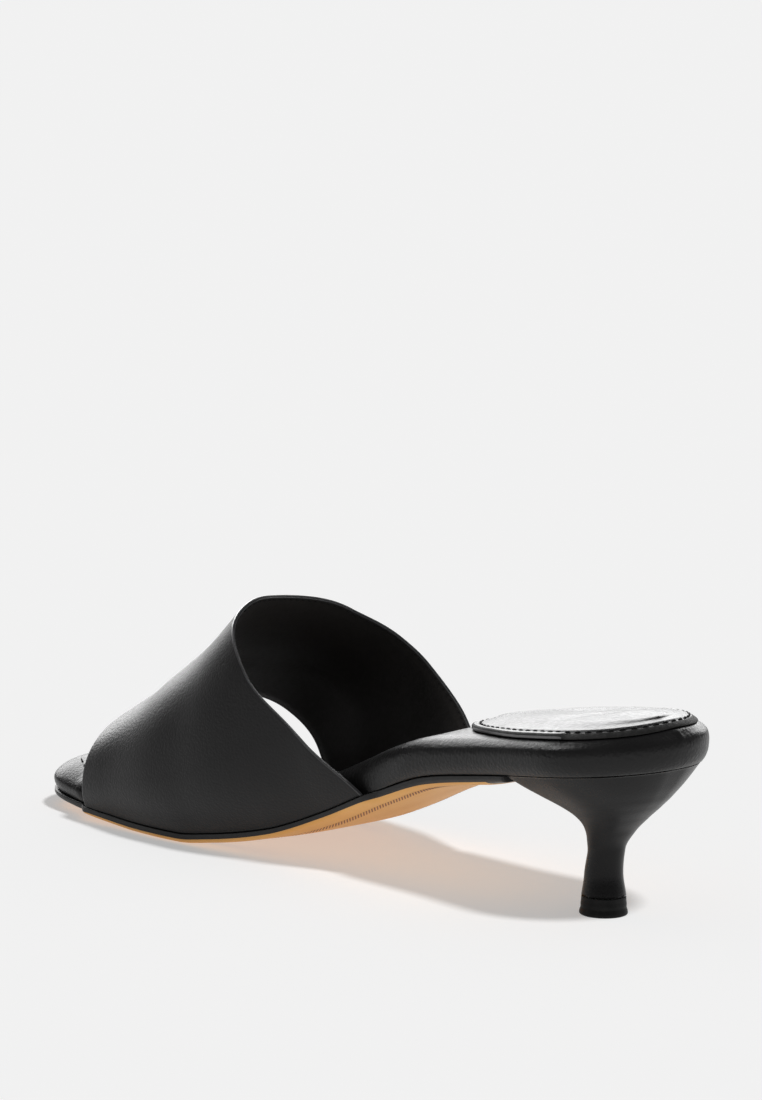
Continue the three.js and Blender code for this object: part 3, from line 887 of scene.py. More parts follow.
@dataclass
class Vamp:
    """The wide band of the upper, with its lining, cut edges and topline stitches."""

    last: Last
    shift: np.ndarray
    instep_height: float = 66.0
    flare: float = 10.3
    arch_power: float = 2.2
    around_steps: int = 260
    along_steps: int = 110
    lining_share: float = 0.4
    edge_round: float = 0.42
    thin_edge: float = 1.1
    thin_run: float = 4.0
    lining_round: float = 0.28
    seam_gap: float = 0.02
    seam_depth: float = 0.25
    stitch_inset: float = 1.1
    stitch: Stitch = Stitch(2.3, 1.7, 0.17, 0.4)
    leather: Leather = Leather(
        "vamp_leather", (0.007, 0.0067, 0.007), (0.012, 0.0116, 0.012), 0.44, 0.7, 0.075, 0.3, 0.24
    )
    lining: Leather = Leather(
        "vamp_lining", (0.021, 0.0182, 0.0168), (0.028, 0.0245, 0.0225), 0.7, 0.9, 0.05, 0.2, 0.35
    )

    def line_over(self, x: np.ndarray) -> tuple[np.ndarray, np.ndarray]:
        """Fine line over the foot at each station.

        Args:
            x: Stations, one row each.

        Returns:
            Y and height over the foot of the line's points, and their lengths along the line.
        """
        last = self.last
        share = x / last.length
        crest, lean, inner, outer, spring = (Curve.column(SECTION_ROWS, i)(share) for i in range(1, 6))
        foot = last.sole_step - last.vamp_inset
        crest_y, crest_z = last.ball_width * lean, self.instep_height * crest
        spring_z = self.instep_height * spring
        low = np.arange(24) / 24
        angle = np.linspace(0, np.pi / 2, 60)
        lines = []
        for side, flare in ((1, inner), (-1, outer)):
            foot_y = last.feather_y(x, side) + side * foot
            wide = foot_y + side * self.flare * flare
            low_y = wide[:, None] + (foot_y - wide)[:, None] * (1 - low) ** 2
            low_z = spring_z[:, None] * low
            round_y = np.maximum(np.cos(angle), 0) ** (2 / self.arch_power)
            round_z = np.sin(angle) ** (2 / self.arch_power)
            high_y = crest_y[:, None] + (wide - crest_y)[:, None] * round_y
            high_z = spring_z[:, None] + (crest_z - spring_z)[:, None] * round_z
            lines.append(np.stack([np.hstack([low_y, high_y]), np.hstack([low_z, high_z])], -1))
        line = np.concatenate([lines[0], lines[1][:, ::-1][:, 1:]], 1)
        steps = np.linalg.norm(np.diff(line, axis=1), axis=2)
        return line, np.concatenate([np.zeros((len(x), 1)), np.cumsum(steps, 1)], 1)

    def point(self, x: np.ndarray, around: np.ndarray) -> np.ndarray:
        """Points of the smooth outer surface.

        Args:
            x: Stations.
            around: Shares of the way over the foot, from the inner side.

        Returns:
            One point for each pair.
        """
        line, reach = self.line_over(x)
        target = around * reach[:, -1]
        i = np.clip((reach < target[:, None]).sum(1) - 1, 0, reach.shape[1] - 2)
        rows = np.arange(len(x))
        s = (target - reach[rows, i]) / (reach[rows, i + 1] - reach[rows, i])
        spot = line[rows, i] + (line[rows, i + 1] - line[rows, i]) * s[:, None]
        return np.stack([x, spot[:, 0], self.last.feather_z(x) + GAP + spot[:, 1]], 1)

    def station(self, around: np.ndarray, along: np.ndarray) -> np.ndarray:
        """Station at a share of the way from the toe line to the topline."""
        front = TOELINE(around)
        return self.last.length * (front + (TOPLINE(around) - front) * along)

    def surface(self, around: np.ndarray, along: np.ndarray) -> tuple[np.ndarray, np.ndarray, np.ndarray]:
        """Outer surface of the band.

        Args:
            around: Grid of shares over the foot.
            along: Grid of shares from the toe line to the topline.

        Returns:
            Points, inward directions and directions toward the topline.
        """
        shape = around.shape
        flat_around, flat_along = around.ravel(), along.ravel()
        x = self.station(flat_around, flat_along)
        step = 0.004
        low, high = np.maximum(flat_around - step, 0), np.minimum(flat_around + step, 1)
        across = self.point(x, high) - self.point(x, low)
        ahead = self.point(x + 0.5, flat_around) - self.point(x - 0.5, flat_around)
        inward = np.cross(ahead, across)
        feet = (flat_around <= 0) | (flat_around >= 1)
        inward[feet] *= (0, 1, 0)
        inward /= np.linalg.norm(inward, axis=1, keepdims=True)
        back = -ahead / np.linalg.norm(ahead, axis=1, keepdims=True)
        points = self.point(x, flat_around) - inward * self.creases(flat_around, flat_along)[:, None]
        return points.reshape(*shape, 3), inward.reshape(*shape, 3), back.reshape(*shape, 3)

    def creases(self, around: np.ndarray, along: np.ndarray) -> np.ndarray:
        """Soft troughs and ridges of the leather, outward in millimetres."""
        clear = switch_over(around, 0.0, 0.06) * (1 - switch_over(around, 0.94, 0.06))
        clear = clear * switch_over(along, 0.0, 0.12) * (1 - switch_over(along, 0.88, 0.12))
        return sum(fold.lift(along, around) for fold in VAMP_CREASES) * clear

    def edge_profile(self) -> list[tuple[float, float]]:
        """Rounded plies of the cut edge: depth through the wall and how far they stand out."""
        seam = 1 - self.lining_share
        plies = (
            (0.0, seam - self.seam_gap, self.edge_round, slice(1, None)),
            (seam + self.seam_gap, 1.0, self.lining_round, slice(0, -1)),
        )
        rows = []
        for start, end, stand, kept in plies:
            for angle in np.linspace(0, np.pi, 9)[kept]:
                depth = start + (end - start) * (1 - math.cos(angle)) / 2
                rise = math.sin(angle)
                at_seam = 0.1 < depth < 0.9 and rise < 0.1
                rows.append((depth, stand * rise - (self.seam_depth if at_seam else 0)))
        return rows

    def wall(self, from_edge: np.ndarray | float) -> np.ndarray:
        """Thickness of the band, skived thin toward its free edges."""
        grown = switch_over(from_edge, 0.0, self.thin_run)
        return self.thin_edge + (self.last.vamp_wall - self.thin_edge) * grown

    def build(self) -> bpy.types.Object:
        """Builds the band as one closed skin.

        Returns:
            The vamp, which stands for the CAD node.
        """
        wall = self.thin_edge
        around, along = np.meshgrid(
            np.linspace(0, 1, self.around_steps + 1), np.linspace(0, 1, self.along_steps + 1)
        )
        reach = self.last.length * (TOELINE(around) - TOPLINE(around))
        along = along + (1 - 2 * along) * self.edge_round / reach
        points, inward, back = self.surface(around, along)
        inside = points + inward * self.wall(reach * np.minimum(along, 1 - along))[..., None]
        skin = Skin("vamp_band", self.shift)
        outer = skin.add(points)
        inner = skin.add(inside)
        skin.cover(outer, 0)
        skin.cover(inner[::-1], 1)
        plies = self.edge_profile()
        top_rows = [outer[-1]]
        toe_rows = [outer[0]]
        for depth, stand in plies:
            top_rows.append(skin.add(points[-1] + inward[-1] * wall * depth + back[-1] * stand))
            toe_rows.append(skin.add(points[0] + inward[0] * wall * depth - back[0] * stand))
        skin.cover(np.array([*top_rows, inner[-1]]), 2)
        skin.cover(np.array([*toe_rows, inner[0]])[::-1], 2)
        skin.cover(np.stack([inner[:, 0], outer[:, 0]]), 2)
        skin.cover(np.stack([outer[:, -1], inner[:, -1]]), 2)
        edge = EdgePaint("vamp_edge", (0.02, 0.02, 0.021), 0.26, 0.03, 0.7)
        piece = skin.build([self.leather.material(), self.lining.material(), edge.material()])
        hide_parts("vamp")
        return piece

    def topstitch(self, finish: bpy.types.Material) -> bpy.types.Object:
        """Sews the topline, with the stitches showing on the lining."""
        around = np.linspace(0.03, 0.97, 400)
        points, inward, back = self.surface(around[None], np.ones((1, 400)))
        path = points[0] + inward[0] * self.wall(self.stitch_inset) - back[0] * self.stitch_inset
        return stitch_row("vamp_topstitch", self.shift, path, inward[0], finish, self.stitch)


@dataclass
class Footbed:
    """Padded footbed wrapped in grained leather."""

    last: Last
    shift: np.ndarray
    side_steps: int = 30
    count: int = 320
    crossings: int = 48
    dome_reach: float = 34.0
    dome_run: float = 16.0
    crown_reach: float = 40.0
    crown_run: float = 26.0
    toe_shoulder: float = 14.0
    toe_crown: float = 1.9
    toe_bulge: float = 0.4
    dome_power: float = 2.3
    toe_span: float = 46.0
    pinch_run: float = 18.0
    waist_back: float = 70.0
    waist_front: float = 93.0
    waist_run: float = 12.0
    waist_shoulder: float = 2.4
    waist_ridge: float = 0.3
    ridge_run: float = 4.5
    tack_front: tuple[float, float] = (228.0, 16.0)
    tack_back: tuple[float, float] = (213.0, 26.0)
    tack: Stitch = Stitch(6.0, 2.6, 0.4, 0.3)
    leather: Leather = Leather(
        "footbed_leather", (0.006, 0.0058, 0.006), (0.01, 0.0098, 0.01), 0.32, 0.9, 0.095, 0.4, 0.26
    )

    def waist(self, x: np.ndarray) -> np.ndarray:
        """1 along the waist, where the wrap's edge stands up crisply, and 0 elsewhere."""
        ended = switch_over(x, self.waist_front, self.waist_run)
        return switch_over(x, self.waist_back, self.waist_run) * (1 - ended)

    def build(self) -> bpy.types.Object:
        """Builds the wrapped footbed.

        Returns:
            The footbed, which stands for the CAD node.
        """
        last = self.last
        lines = last.outline(self.count)
        at = np.linspace(0, 1, self.side_steps)
        steps = np.linspace(0, 1, len(BED_SIDE_ROWS))
        up, bulge, inward = (Curve(steps, [row[k] for row in BED_SIDE_ROWS])(at) for k in range(3))
        skin = Skin("footbed_wrap", self.shift)
        grids = {}
        for side, line in lines.items():
            pinch = last.under_vamp(line.points[:, 0], side, self.pinch_run)
            full = last.bed_bulge + (last.pinched_bulge - last.bed_bulge) * pinch
            toe = switch_over(line.points[:, 0], last.length - self.dome_reach, self.dome_run)
            shoulder = last.bed_shoulder + (self.toe_shoulder - last.bed_shoulder) * toe
            waist = self.waist(line.points[:, 0])
            shoulder = shoulder + (self.waist_shoulder - last.bed_shoulder) * waist
            ridge = self.waist_ridge * waist if side is Side.INNER else 0.0
            full = full + self.toe_bulge * toe
            dome_up = np.clip(np.sin(at * np.pi / 2), 0, 1) ** (2 / self.dome_power)
            dome_in = 1 - np.clip(np.cos(at * np.pi / 2), 0, 1) ** (2 / self.dome_power)
            columns = []
            for k in range(self.side_steps):
                drawn_in = inward[k] + (dome_in[k] - inward[k]) * toe
                spot = line.offset(bulge[k] * full - drawn_in * shoulder)
                soft = up[k] + (dome_up[k] - up[k]) * toe
                over = GAP if k == 0 else ridge * soft**4
                rise = soft * last.bed_height(spot[:, 0], spot[:, 1]) + over
                columns.append(np.column_stack([spot, last.feather_z(spot[:, 0]) + rise]))
            grids[side] = np.array(columns)
        inner = skin.add(grids[Side.INNER])
        outer = skin.add(grids[Side.OUTER])
        outer[:, 0], outer[:, -1] = inner[:, 0], inner[:, -1]
        skin.cover(inner)
        skin.cover(outer[::-1])
        first, second = grids[Side.INNER][-1], grids[Side.OUTER][-1]
        share, plan = crossing_rows(first, second, self.crossings)
        across = np.linalg.norm(plan - first[None, :, :2], axis=2)
        ridge = self.waist_ridge * self.waist(plan[..., 0]) * bell(across, 0.0, self.ridge_run)
        span = switch_over(np.linalg.norm(first[:, :2] - second[:, :2], axis=1), 0, self.toe_span)[None]
        toe = switch_over(plan[..., 0], last.length - self.crown_reach, self.crown_run)
        toe = toe * (4 * share * (1 - share))[..., 0]
        ridge = ridge + self.toe_crown * toe * span
        top = np.concatenate([plan, (last.bed_top(plan[..., 0], plan[..., 1]) + ridge)[..., None]], 2)
        middle = skin.add(top)
        middle[:, 0], middle[:, -1] = inner[-1, 0], inner[-1, -1]
        skin.cover(np.concatenate([inner[-1:], middle, outer[-1:]]))
        skin.cover(np.stack([outer[0], inner[0]]))
        piece = skin.build([self.leather.material()])
        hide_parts("footbed")
        return piece

    def toe_tacks(self, bed: bpy.types.Object, finish: bpy.types.Material) -> bpy.types.Object:
        """Sews the short stitches at the toe, beside the vamp's front edge.

        Args:
            bed: The wrapped footbed that they lie on.
            finish: Material of the thread.

        Returns:
            The row of stitches.
        """
        path, normals = [], []
        for x, y in np.linspace(self.tack_front, self.tack_back, 24):
            above = Vector(((x + self.shift[0]) * MM, (y + self.shift[1]) * MM, 0.1))
            _, spot, normal, _ = bed.ray_cast(above, Vector((0, 0, -1)))
            path.append(np.array(spot) / MM - self.shift)
            normals.append(np.array(normal))
        spots, ups = np.array(path), np.array(normals)
        return stitch_row("toe_tack_stitches", self.shift, spots, ups, finish, self.tack)


@dataclass
class HeelPad:
    """Padded sock at the heel, glued down and stitched round its edge."""

    last: Last
    shift: np.ndarray
    length: float = 76.0
    inset: float = 1.2
    thickness: float = 1.5
    front_rounding: float = 38.0
    edge_round: float = 0.8
    count: int = 340
    seam_inset: float = 2.4
    dome: float = 1.0
    droop: float = 1.2
    border_rows: int = 3
    painted_highlight_foot: float = 0.5
    crossings: int = 49
    flat_start: float = 21.0
    flat_start_run: float = 3.0
    flat_side_run: float = 6.0
    stitch: Stitch = Stitch(3.2, 2.3, 0.32, 0.2)
    leather: Leather = Leather(
        "heel_pad_leather", (0.012, 0.0118, 0.0125), (0.024, 0.0235, 0.024), 0.33, 0.9, 0.07, 0.9, 0.5
    )

    def outline(self) -> tuple[np.ndarray, np.ndarray, np.ndarray]:
        """Closed outline of the pad.

        Returns:
            Points in plan, outward directions and distances inside the feather line.
        """
        last = self.last
        turn = np.linspace(0, 1, 2000)
        station = self.length * (1 - np.cos(np.pi * turn)) / 2
        halves = []
        for side in Side:
            line = Line.through(np.stack([station, last.feather_y(station, side.value)], 1), side)
            line.normals[0] = (-1, 0)
            full = line.offset(-self.inset)
            middle = (last.feather_y(full[:, 0], 1) + last.feather_y(full[:, 0], -1)) / 2
            narrowed = end_rounding(self.length - station, self.front_rounding, 2)
            y = middle + (full[:, 1] - middle) * narrowed
            from_edge = self.inset + np.abs((full[:, 1] - y) * line.normals[:, 1])
            halves.append(np.column_stack([full[:, 0], y, from_edge]))
        loop = np.concatenate([halves[0], halves[1][::-1][1:]])
        reach = lengths_along(loop[:, :2])
        at = np.linspace(0, reach[-1], self.count + 1)[:-1]
        even = np.stack([np.interp(at, reach, column) for column in loop.T], 1)
        along = np.roll(even[:, :2], -1, 0) - np.roll(even[:, :2], 1, 0)
        along /= np.linalg.norm(along, axis=1, keepdims=True)
        return even[:, :2], np.stack([-along[:, 1], along[:, 0]], 1), even[:, 2]

    def flat_front(self, x: np.ndarray | float, y: np.ndarray | float) -> np.ndarray:
        """1 where the border lies flat, on the inner side toward the front."""
        forward = switch_over(x, self.flat_start, self.flat_start_run)
        return forward * switch_over(y, 0, self.flat_side_run)

    def lift(self, x: np.ndarray, y: np.ndarray, inward: np.ndarray) -> np.ndarray:
        """Height of the pad's top over its flat thickness: seam groove, dome and folds."""
        fall = np.clip(1 - inward / (self.seam_inset + 0.6), 0, 1) ** 1.3
        droop = self.droop * (1 - self.flat_front(x, y)) * fall
        groove = -0.4 * bell(inward, self.seam_inset, 0.5) - droop
        inside = switch_over(inward, self.seam_inset, 9.0)
        folds = sum(fold.lift(x, y) if fold.crosswise else fold.lift(y, x) for fold in PAD_FOLDS)
        return groove + inside * (self.dome + folds)

    def ring(self, inward: float, up: float) -> np.ndarray:
        """Closed row of points at a distance inside the edge and a height over the footbed."""
        last = self.last
        points, normals, from_edge = self.outline()
        spot = points - normals * inward
        drop = last.shoulder_drop(spot[:, 0], spot[:, 1], from_edge + inward)
        lifted = self.lift(spot[:, 0], spot[:, 1], np.full(len(spot), inward)) * up / self.thickness
        z = last.bed_top(spot[:, 0], spot[:, 1]) - drop + GAP + up + lifted
        return np.column_stack([spot, z])

    def halves(self, loop: np.ndarray) -> tuple[np.ndarray, np.ndarray]:
        """The two sides of a closed row, each from the back to the front."""
        half = self.count // 2
        return loop[: half + 1], np.concatenate([loop[:1], loop[half:][::-1]])[: half + 1]

    def build(self) -> bpy.types.Object:
        """Builds the pad.

        Returns:
            The pad, which stands for the CAD node.
        """
        leather, edge_slot, painted_highlight_slot = range(3)
        thick, edge = self.thickness, self.edge_round
        skin = Skin("heel_pad_sock", self.shift)
        rows = [self.ring(self.last.bed_shoulder, 0), self.ring(0.4, 0), self.ring(0.08, 0.12 * thick)]
        rows += [self.ring(0, up * thick) for up in (0.3, 0.5, 0.7)]
        rows += [self.ring(edge * 0.12, 0.82 * thick), self.ring(edge * 0.4, 0.94 * thick)]
        band = [edge * 0.8, *np.arange(1.2, 6.1, 0.3)]
        rows += [self.ring(float(inward), thick) for inward in band]
        numbers = skin.add(np.array(rows))
        cut = len(rows) - len(band)
        border = cut + self.border_rows
        skin.cover(numbers[: cut + 1], edge_slot, closed=True)
        skin.cover(numbers[cut : border + 1], painted_highlight_slot, closed=True)
        skin.cover(numbers[border:], leather, closed=True)
        for ring, row, flip in ((numbers[-1], rows[-1], False), (numbers[0], rows[0], True)):
            near, far = self.halves(ring)
            first, second = self.halves(row)
            _, plan = crossing_rows(first, second, self.crossings)
            height = self.last.bed_top(plan[..., 0], plan[..., 1]) + GAP
            if not flip:
                inward = np.full(plan.shape[:2], band[-1]) + self.depth_inside(plan, first, second)
                height = height + thick + self.lift(plan[..., 0], plan[..., 1], inward)
            inside = skin.add(np.concatenate([plan, height[..., None]], 2))
            inside[:, 0], inside[:, -1] = near[0], near[-1]
            sheet = np.concatenate([near[None], inside, far[None]])
            skin.cover(sheet[::-1] if flip else sheet)
        edge_paint = EdgePaint("heel_pad_edge", (0.012, 0.0118, 0.0115), 0.6, 0.2, 0.25)
        # Painted highlight: a grey paint for the flat border, standing in for the glare on its black
        # leather.
        painted_highlight = EdgePaint("heel_pad_painted_highlight", (0.06, 0.059, 0.061), 0.22, 0.05, 0.9)
        piece = skin.build([self.leather.material(), edge_paint.material(), painted_highlight.material()])
        # The outer rows of the top are leather where the border lies flat and cut edge elsewhere; the
        # flat border's own face gets a painted highlight, grey in place of the glare on its black
        # leather.
        last = self.last
        for face in piece.data.polygons:
            if face.material_index == leather:
                continue
            x, y, z = np.array(face.center) / MM - self.shift
            foot = float(last.feather_z(x) + last.bed_height(np.array(x), np.array(y)))
            on_front = float(self.flat_front(x, y)) > 0.5
            if face.material_index == painted_highlight_slot:
                face.material_index = leather if on_front else edge_slot
            elif on_front and face.normal.z > -0.2 and z > foot - self.painted_highlight_foot:
                face.material_index = painted_highlight_slot
        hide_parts("heel_pad")
        return piece

    @staticmethod
    def depth_inside(plan: np.ndarray, first: np.ndarray, second: np.ndarray) -> np.ndarray:
        """Distance of the inner points from the last ring, across the pad."""
        near = np.linalg.norm(plan - first[None, :, :2], axis=2)
        far = np.linalg.norm(plan - second[None, :, :2], axis=2)
        return np.minimum(near, far)

    def stitches(self, finish: bpy.types.Material) -> bpy.types.Object:
        """Sews the long black stitches round the pad."""
        ring = self.ring(self.seam_inset, self.thickness)
        path = np.concatenate([ring, ring[:1]])
        up = np.tile((0.0, 0.0, 1.0), (len(path), 1))
        return stitch_row("heel_pad_stitches", self.shift, path, up, finish, self.stitch)


@dataclass
class Outsole:
    """Thin leather sole with a black edge, a rounded bevel and a tan underside."""

    last: Last
    shift: np.ndarray
    count: int = 360
    crossings: int = 40
    bevel_width: float = 2.6
    edge_rows: int = 7
    bevel_rows: int = 9
    waist_crown: float = 1.9
    waist_edge: float = 0.8
    channel_inset: float = 5.4
    toe_reach: float = 1.1
    toe_reach_start: float = 34.0
    toe_reach_run: float = 24.0
    lip: float = 8.0
    waist_edge_fade: tuple[float, float] = (90.0, 50.0)
    crown_in: tuple[float, float] = (44.0, 14.0)
    crown_out: tuple[float, float] = (118.0, 34.0)
    black: float = 0.44
    black_waist: float = 0.26
    black_waist_fade: tuple[float, float] = (70.0, 50.0)
    black_toe: float = 0.5
    black_toe_start: float = 30.0
    black_toe_run: float = 16.0
    black_most: float = 0.96
    dash: float = 1.5
    dash_pitch: float = 1.15
    dash_least: float = 0.1
    dash_width: float = 0.25
    dot_width: float = 0.34
    dash_row_start: float = 8.0
    dash_row_end: float = 14.0
    dash_growth: tuple[float, float] = (22.0, 24.0)
    proud: float = 0.03
    proud_waist: float = 0.07
    proud_fade: tuple[float, float] = (118.0, 20.0)

    def thickness(self, x: np.ndarray) -> np.ndarray:
        """Thickness at the edge, with a stouter edge at the waist."""
        stouter = self.waist_edge * (1 - switch_over(x, *self.waist_edge_fade))
        return self.last.sole_thickness_at(x) + stouter

    def crown(self, x: np.ndarray, y: np.ndarray) -> np.ndarray:
        """How far the middle of the waist stands out below its edges."""
        inner, outer = self.last.feather_y(x, 1), self.last.feather_y(x, -1)
        across = np.clip((y - (inner + outer) / 2) / np.maximum((inner - outer) / 2, 1), -1, 1)
        along = switch_over(x, *self.crown_in) * (1 - switch_over(x, *self.crown_out))
        return self.waist_crown * along * (1 - across**4)

    def side(self, line: Line, side: Side) -> np.ndarray:
        """Rows of points down the side of the sole and round its bevel.

        Args:
            line: Feather line of the side.
            side: Which side it is.

        Returns:
            Grid of points; the row edge_rows is the border between black and tan.
        """
        last = self.last
        arc = Curve((0.0, 0.42, 0.62, 0.8, 1.0), (0.0, 0.5, 0.76, 0.93, 1.0))
        inset = Curve((0.0, 0.42, 0.62, 0.8, 1.0), (0.0, 0.0, 0.16, 0.5, 1.0))
        x = line.points[:, 0]
        border = self.black + self.black_waist * (1 - switch_over(x, *self.black_waist_fade))
        at_toe = switch_over(x, last.length - self.black_toe_start, self.black_toe_run)
        border = np.minimum(border + self.black_toe * at_toe, self.black_most)
        rows = []
        step = last.sole_step * last.under_vamp(x, side)
        at_toe = switch_over(x, last.length - self.toe_reach_start, self.toe_reach_run)
        step = np.maximum(step, self.toe_reach * at_toe)
        for k in range(self.edge_rows + self.bevel_rows):
            if k <= self.edge_rows:
                at = border * k / self.edge_rows
            else:
                at = border + (1 - border) * (k - self.edge_rows) / (self.bevel_rows - 1)
            spot = line.offset(step - inset(at) * self.bevel_width)
            spot[0] = (last.breast + GAP, spot[0, 1])
            down = arc(at) * self.thickness(spot[:, 0])
            down = down + arc(at) * self.crown(spot[:, 0], spot[:, 1])
            rows.append(np.column_stack([spot, last.feather_z(spot[:, 0]) - down]))
        return np.array(rows)

    def underside(self, x: np.ndarray, y: np.ndarray) -> np.ndarray:
        """Height of the underside over the floor."""
        return self.last.feather_z(x) - self.thickness(x) - self.crown(x, y)

    def build(self) -> bpy.types.Object:
        """Builds the sole.

        Returns:
            The sole, which stands for the CAD node.
        """
        last = self.last
        lines = last.outline(self.count, last.breast + GAP)
        skin = Skin("outsole_leather", self.shift)
        grids = {side: self.side(line, side) for side, line in lines.items()}
        inner = skin.add(grids[Side.INNER])
        outer = skin.add(grids[Side.OUTER])
        outer[:, -1] = inner[:, -1]
        split = self.edge_rows
        for grid, flip in ((inner, False), (outer, True)):
            for rows, slot in ((grid[: split + 1], 0), (grid[split:], 1)):
                skin.cover(rows if flip else rows[::-1], slot)
        ends = []
        for row, slot, flip in ((0, 0, False), (len(inner) - 1, 1, True)):
            first, second = grids[Side.INNER][row], grids[Side.OUTER][row]
            share, plan = crossing_rows(first, second, self.crossings)
            x, y = plan[..., 0], plan[..., 1]
            z = last.feather_z(x) if slot == 0 else self.underside(x, y)
            middle = skin.add(np.concatenate([plan, z[..., None]], 2))
            middle[:, -1] = inner[row, -1]
            sheet = np.concatenate([inner[row][None], middle, outer[row][None]])
            skin.cover(sheet[::-1] if flip else sheet, slot)
            ends.append(sheet[:, 0])
        left, right = grids[Side.INNER][1:-1, 0], grids[Side.OUTER][1:-1, 0]
        filling = skin.add(left[:, None] + (right - left)[:, None] * share[None, :, 0])
        cap = np.concatenate([inner[1:-1, :1], filling, outer[1:-1, :1]], 1)
        skin.cover(np.concatenate([ends[0][None], cap, ends[1][None]]), 0)
        edge = EdgePaint("sole_edge_black", (0.008, 0.0077, 0.0077), 0.36, 0.04, 0.35)
        piece = skin.build([edge.material(), SoleLeather().material()])
        for face in piece.data.polygons:
            if face.center.x / MM - self.shift[0] < last.breast + self.lip:
                face.material_index = 0
        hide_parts("outsole")
        return piece

    def channel(self, finish: bpy.types.Material) -> bpy.types.Object:
        """Marks the row of slanting pressed dashes inside the sole's edge, shrunk to dots at the heel.

        Args:
            finish: Material of the dashes.

        Returns:
            The row of dashes.
        """
        last = self.last
        skin = Skin("sole_channel_marks", self.shift)
        for side, line in last.outline(900, last.breast + self.dash_row_start).items():
            inside = line.offset(-self.channel_inset)
            reach = lengths_along(inside)
            for at in np.arange(1.0, reach[-1] - 1.0, self.dash_pitch):
                spot = np.array([np.interp(at, reach, inside[:, k]) for k in range(2)])
                out = np.array([np.interp(at, reach, line.normals[:, k]) for k in range(2)])
                out /= np.linalg.norm(out)
                along = np.array([out[1], -out[0]])
                if spot[0] > last.length - self.dash_row_end:
                    continue
                grown, growth = self.dash_growth
                full = float(switch_over(spot[0], last.breast + grown, growth))
                half = self.dash * full + self.dash_least
                wide = self.dash_width + self.dot_width * (1 - full)
                slant = along * side.value * full - out
                corners = [spot + a * half * slant + b * wide * along for a in (-1, 1) for b in (-1, 1)]
                plan = np.array(corners).reshape(2, 2, 2)
                waist = 1 - switch_over(plan[..., 0], *self.proud_fade)
                proud = self.proud + self.proud_waist * waist
                z = self.underside(plan[..., 0], plan[..., 1]) - proud
                skin.cover(skin.add(np.concatenate([plan, z[..., None]], 2)))
        return skin.build([finish])


@dataclass
class Heel:
    """Covered kitten heel with its small top piece."""

    last: Last
    shift: np.ndarray
    stem_width: float = 10.6
    stem_station: float = 24.2
    tip_width: float = 13.6
    top_piece_height: float = 5.2
    top_piece_lip: float = 1.6
    set_in: float = 0.4
    sides: int = 120
    levels: int = 90
    cover: Leather = Leather(
        "heel_cover", (0.0045, 0.0043, 0.0045), (0.007, 0.0068, 0.007), 0.3, 0.5, 0.02, 0.35, 0.2
    )

    def seat(self, angle: np.ndarray) -> np.ndarray:
        """Outline of the heel's seat at each angle round its centre.

        Args:
            angle: Angles from the back, in radians.

        Returns:
            Points in plan.
        """
        last = self.last
        centre = 0.52 * last.breast
        dx, dy = -np.cos(angle), np.sin(angle)
        low, high = np.zeros_like(angle), np.full_like(angle, last.length)
        for _ in range(40):
            middle = (low + high) / 2
            x, y = centre + dx * middle, dy * middle
            inside = (x > self.set_in) & (x < last.breast)
            inside &= y < last.feather_y(x, 1) - self.set_in
            inside &= y > last.feather_y(x, -1) + self.set_in
            low, high = np.where(inside, middle, low), np.where(inside, high, middle)
        return np.stack([centre + dx * low, dy * low], 1)

    def build(self) -> bpy.types.Object:
        """Builds the covered heel.

        Returns:
            The heel, which stands for the CAD node.
        """
        fore, size, seat = (Curve.column(HEEL_ROWS, k) for k in (1, 2, 3))
        start = (self.top_piece_height + GAP) / self.last.seat_height
        angle = np.linspace(0, 2 * np.pi, self.sides + 1)[:-1]
        top = self.seat(angle)
        top_z = self.last.feather_z(top[:, 0])
        rings = []
        for rise in np.linspace(0, 1, self.levels + 1):
            up = start + (1 - start) * rise
            radius = self.stem_width * size(up)
            x = self.stem_station + self.stem_width * fore(up) - np.cos(angle) * radius
            y = np.sin(angle) * radius
            share = seat(up)
            x, y = x + (top[:, 0] - x) * share, y + (top[:, 1] - y) * share
            z = self.top_piece_height + GAP + (top_z - self.top_piece_height - GAP) * rise
            rings.append(np.stack([x, y, z], 1))
        skin = Skin("heel_block", self.shift)
        skin.turned(rings)
        piece = skin.build([self.cover.material()])
        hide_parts("heel")
        return piece

    def top_piece(self) -> bpy.types.Object:
        """Builds the plate that the heel walks on.

        Returns:
            The top piece, which stands for the CAD node.
        """
        fore = Curve.column(HEEL_ROWS, 1)
        seam = 2 * self.stem_width * HEEL_ROWS[0][2]
        lip, height, wide = self.top_piece_lip, self.top_piece_height, self.tip_width
        blended = wide + (seam - wide) * 0.7
        # Height over the floor and diameter of the plate.
        rows = (
            (0.0, wide - 0.8),
            (0.12, wide - 0.35),
            (0.4, wide),
            (0.8, wide - 0.06),
            (lip, wide - 0.5),
            (lip * 1.35, wide - 0.8),
            (lip * 1.8, blended),
            (height * 0.8, seam + 0.04),
            (height, seam),
        )
        shape = Curve.column(rows, 1)
        centre = self.stem_station + self.stem_width * float(fore(HEEL_ROWS[0][0]))
        angle = np.linspace(0, 2 * np.pi, self.sides + 1)[:-1]
        rings = []
        levels = [0.0, 0.05, 0.12, 0.22, *np.linspace(0.35, height - 0.15, 26), height - 0.06, height]
        for z in levels:
            radius = shape(z) / 2 - (0.1 if z == height else 0)
            x, y = centre - np.cos(angle) * radius, np.sin(angle) * radius
            rings.append(np.stack([x, y, np.full(len(angle), z)], 1))
        skin = Skin("top_piece_plate", self.shift)
        skin.turned(rings)
        piece = skin.build([Rubber().material()])
        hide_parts("top_piece")
        return piece


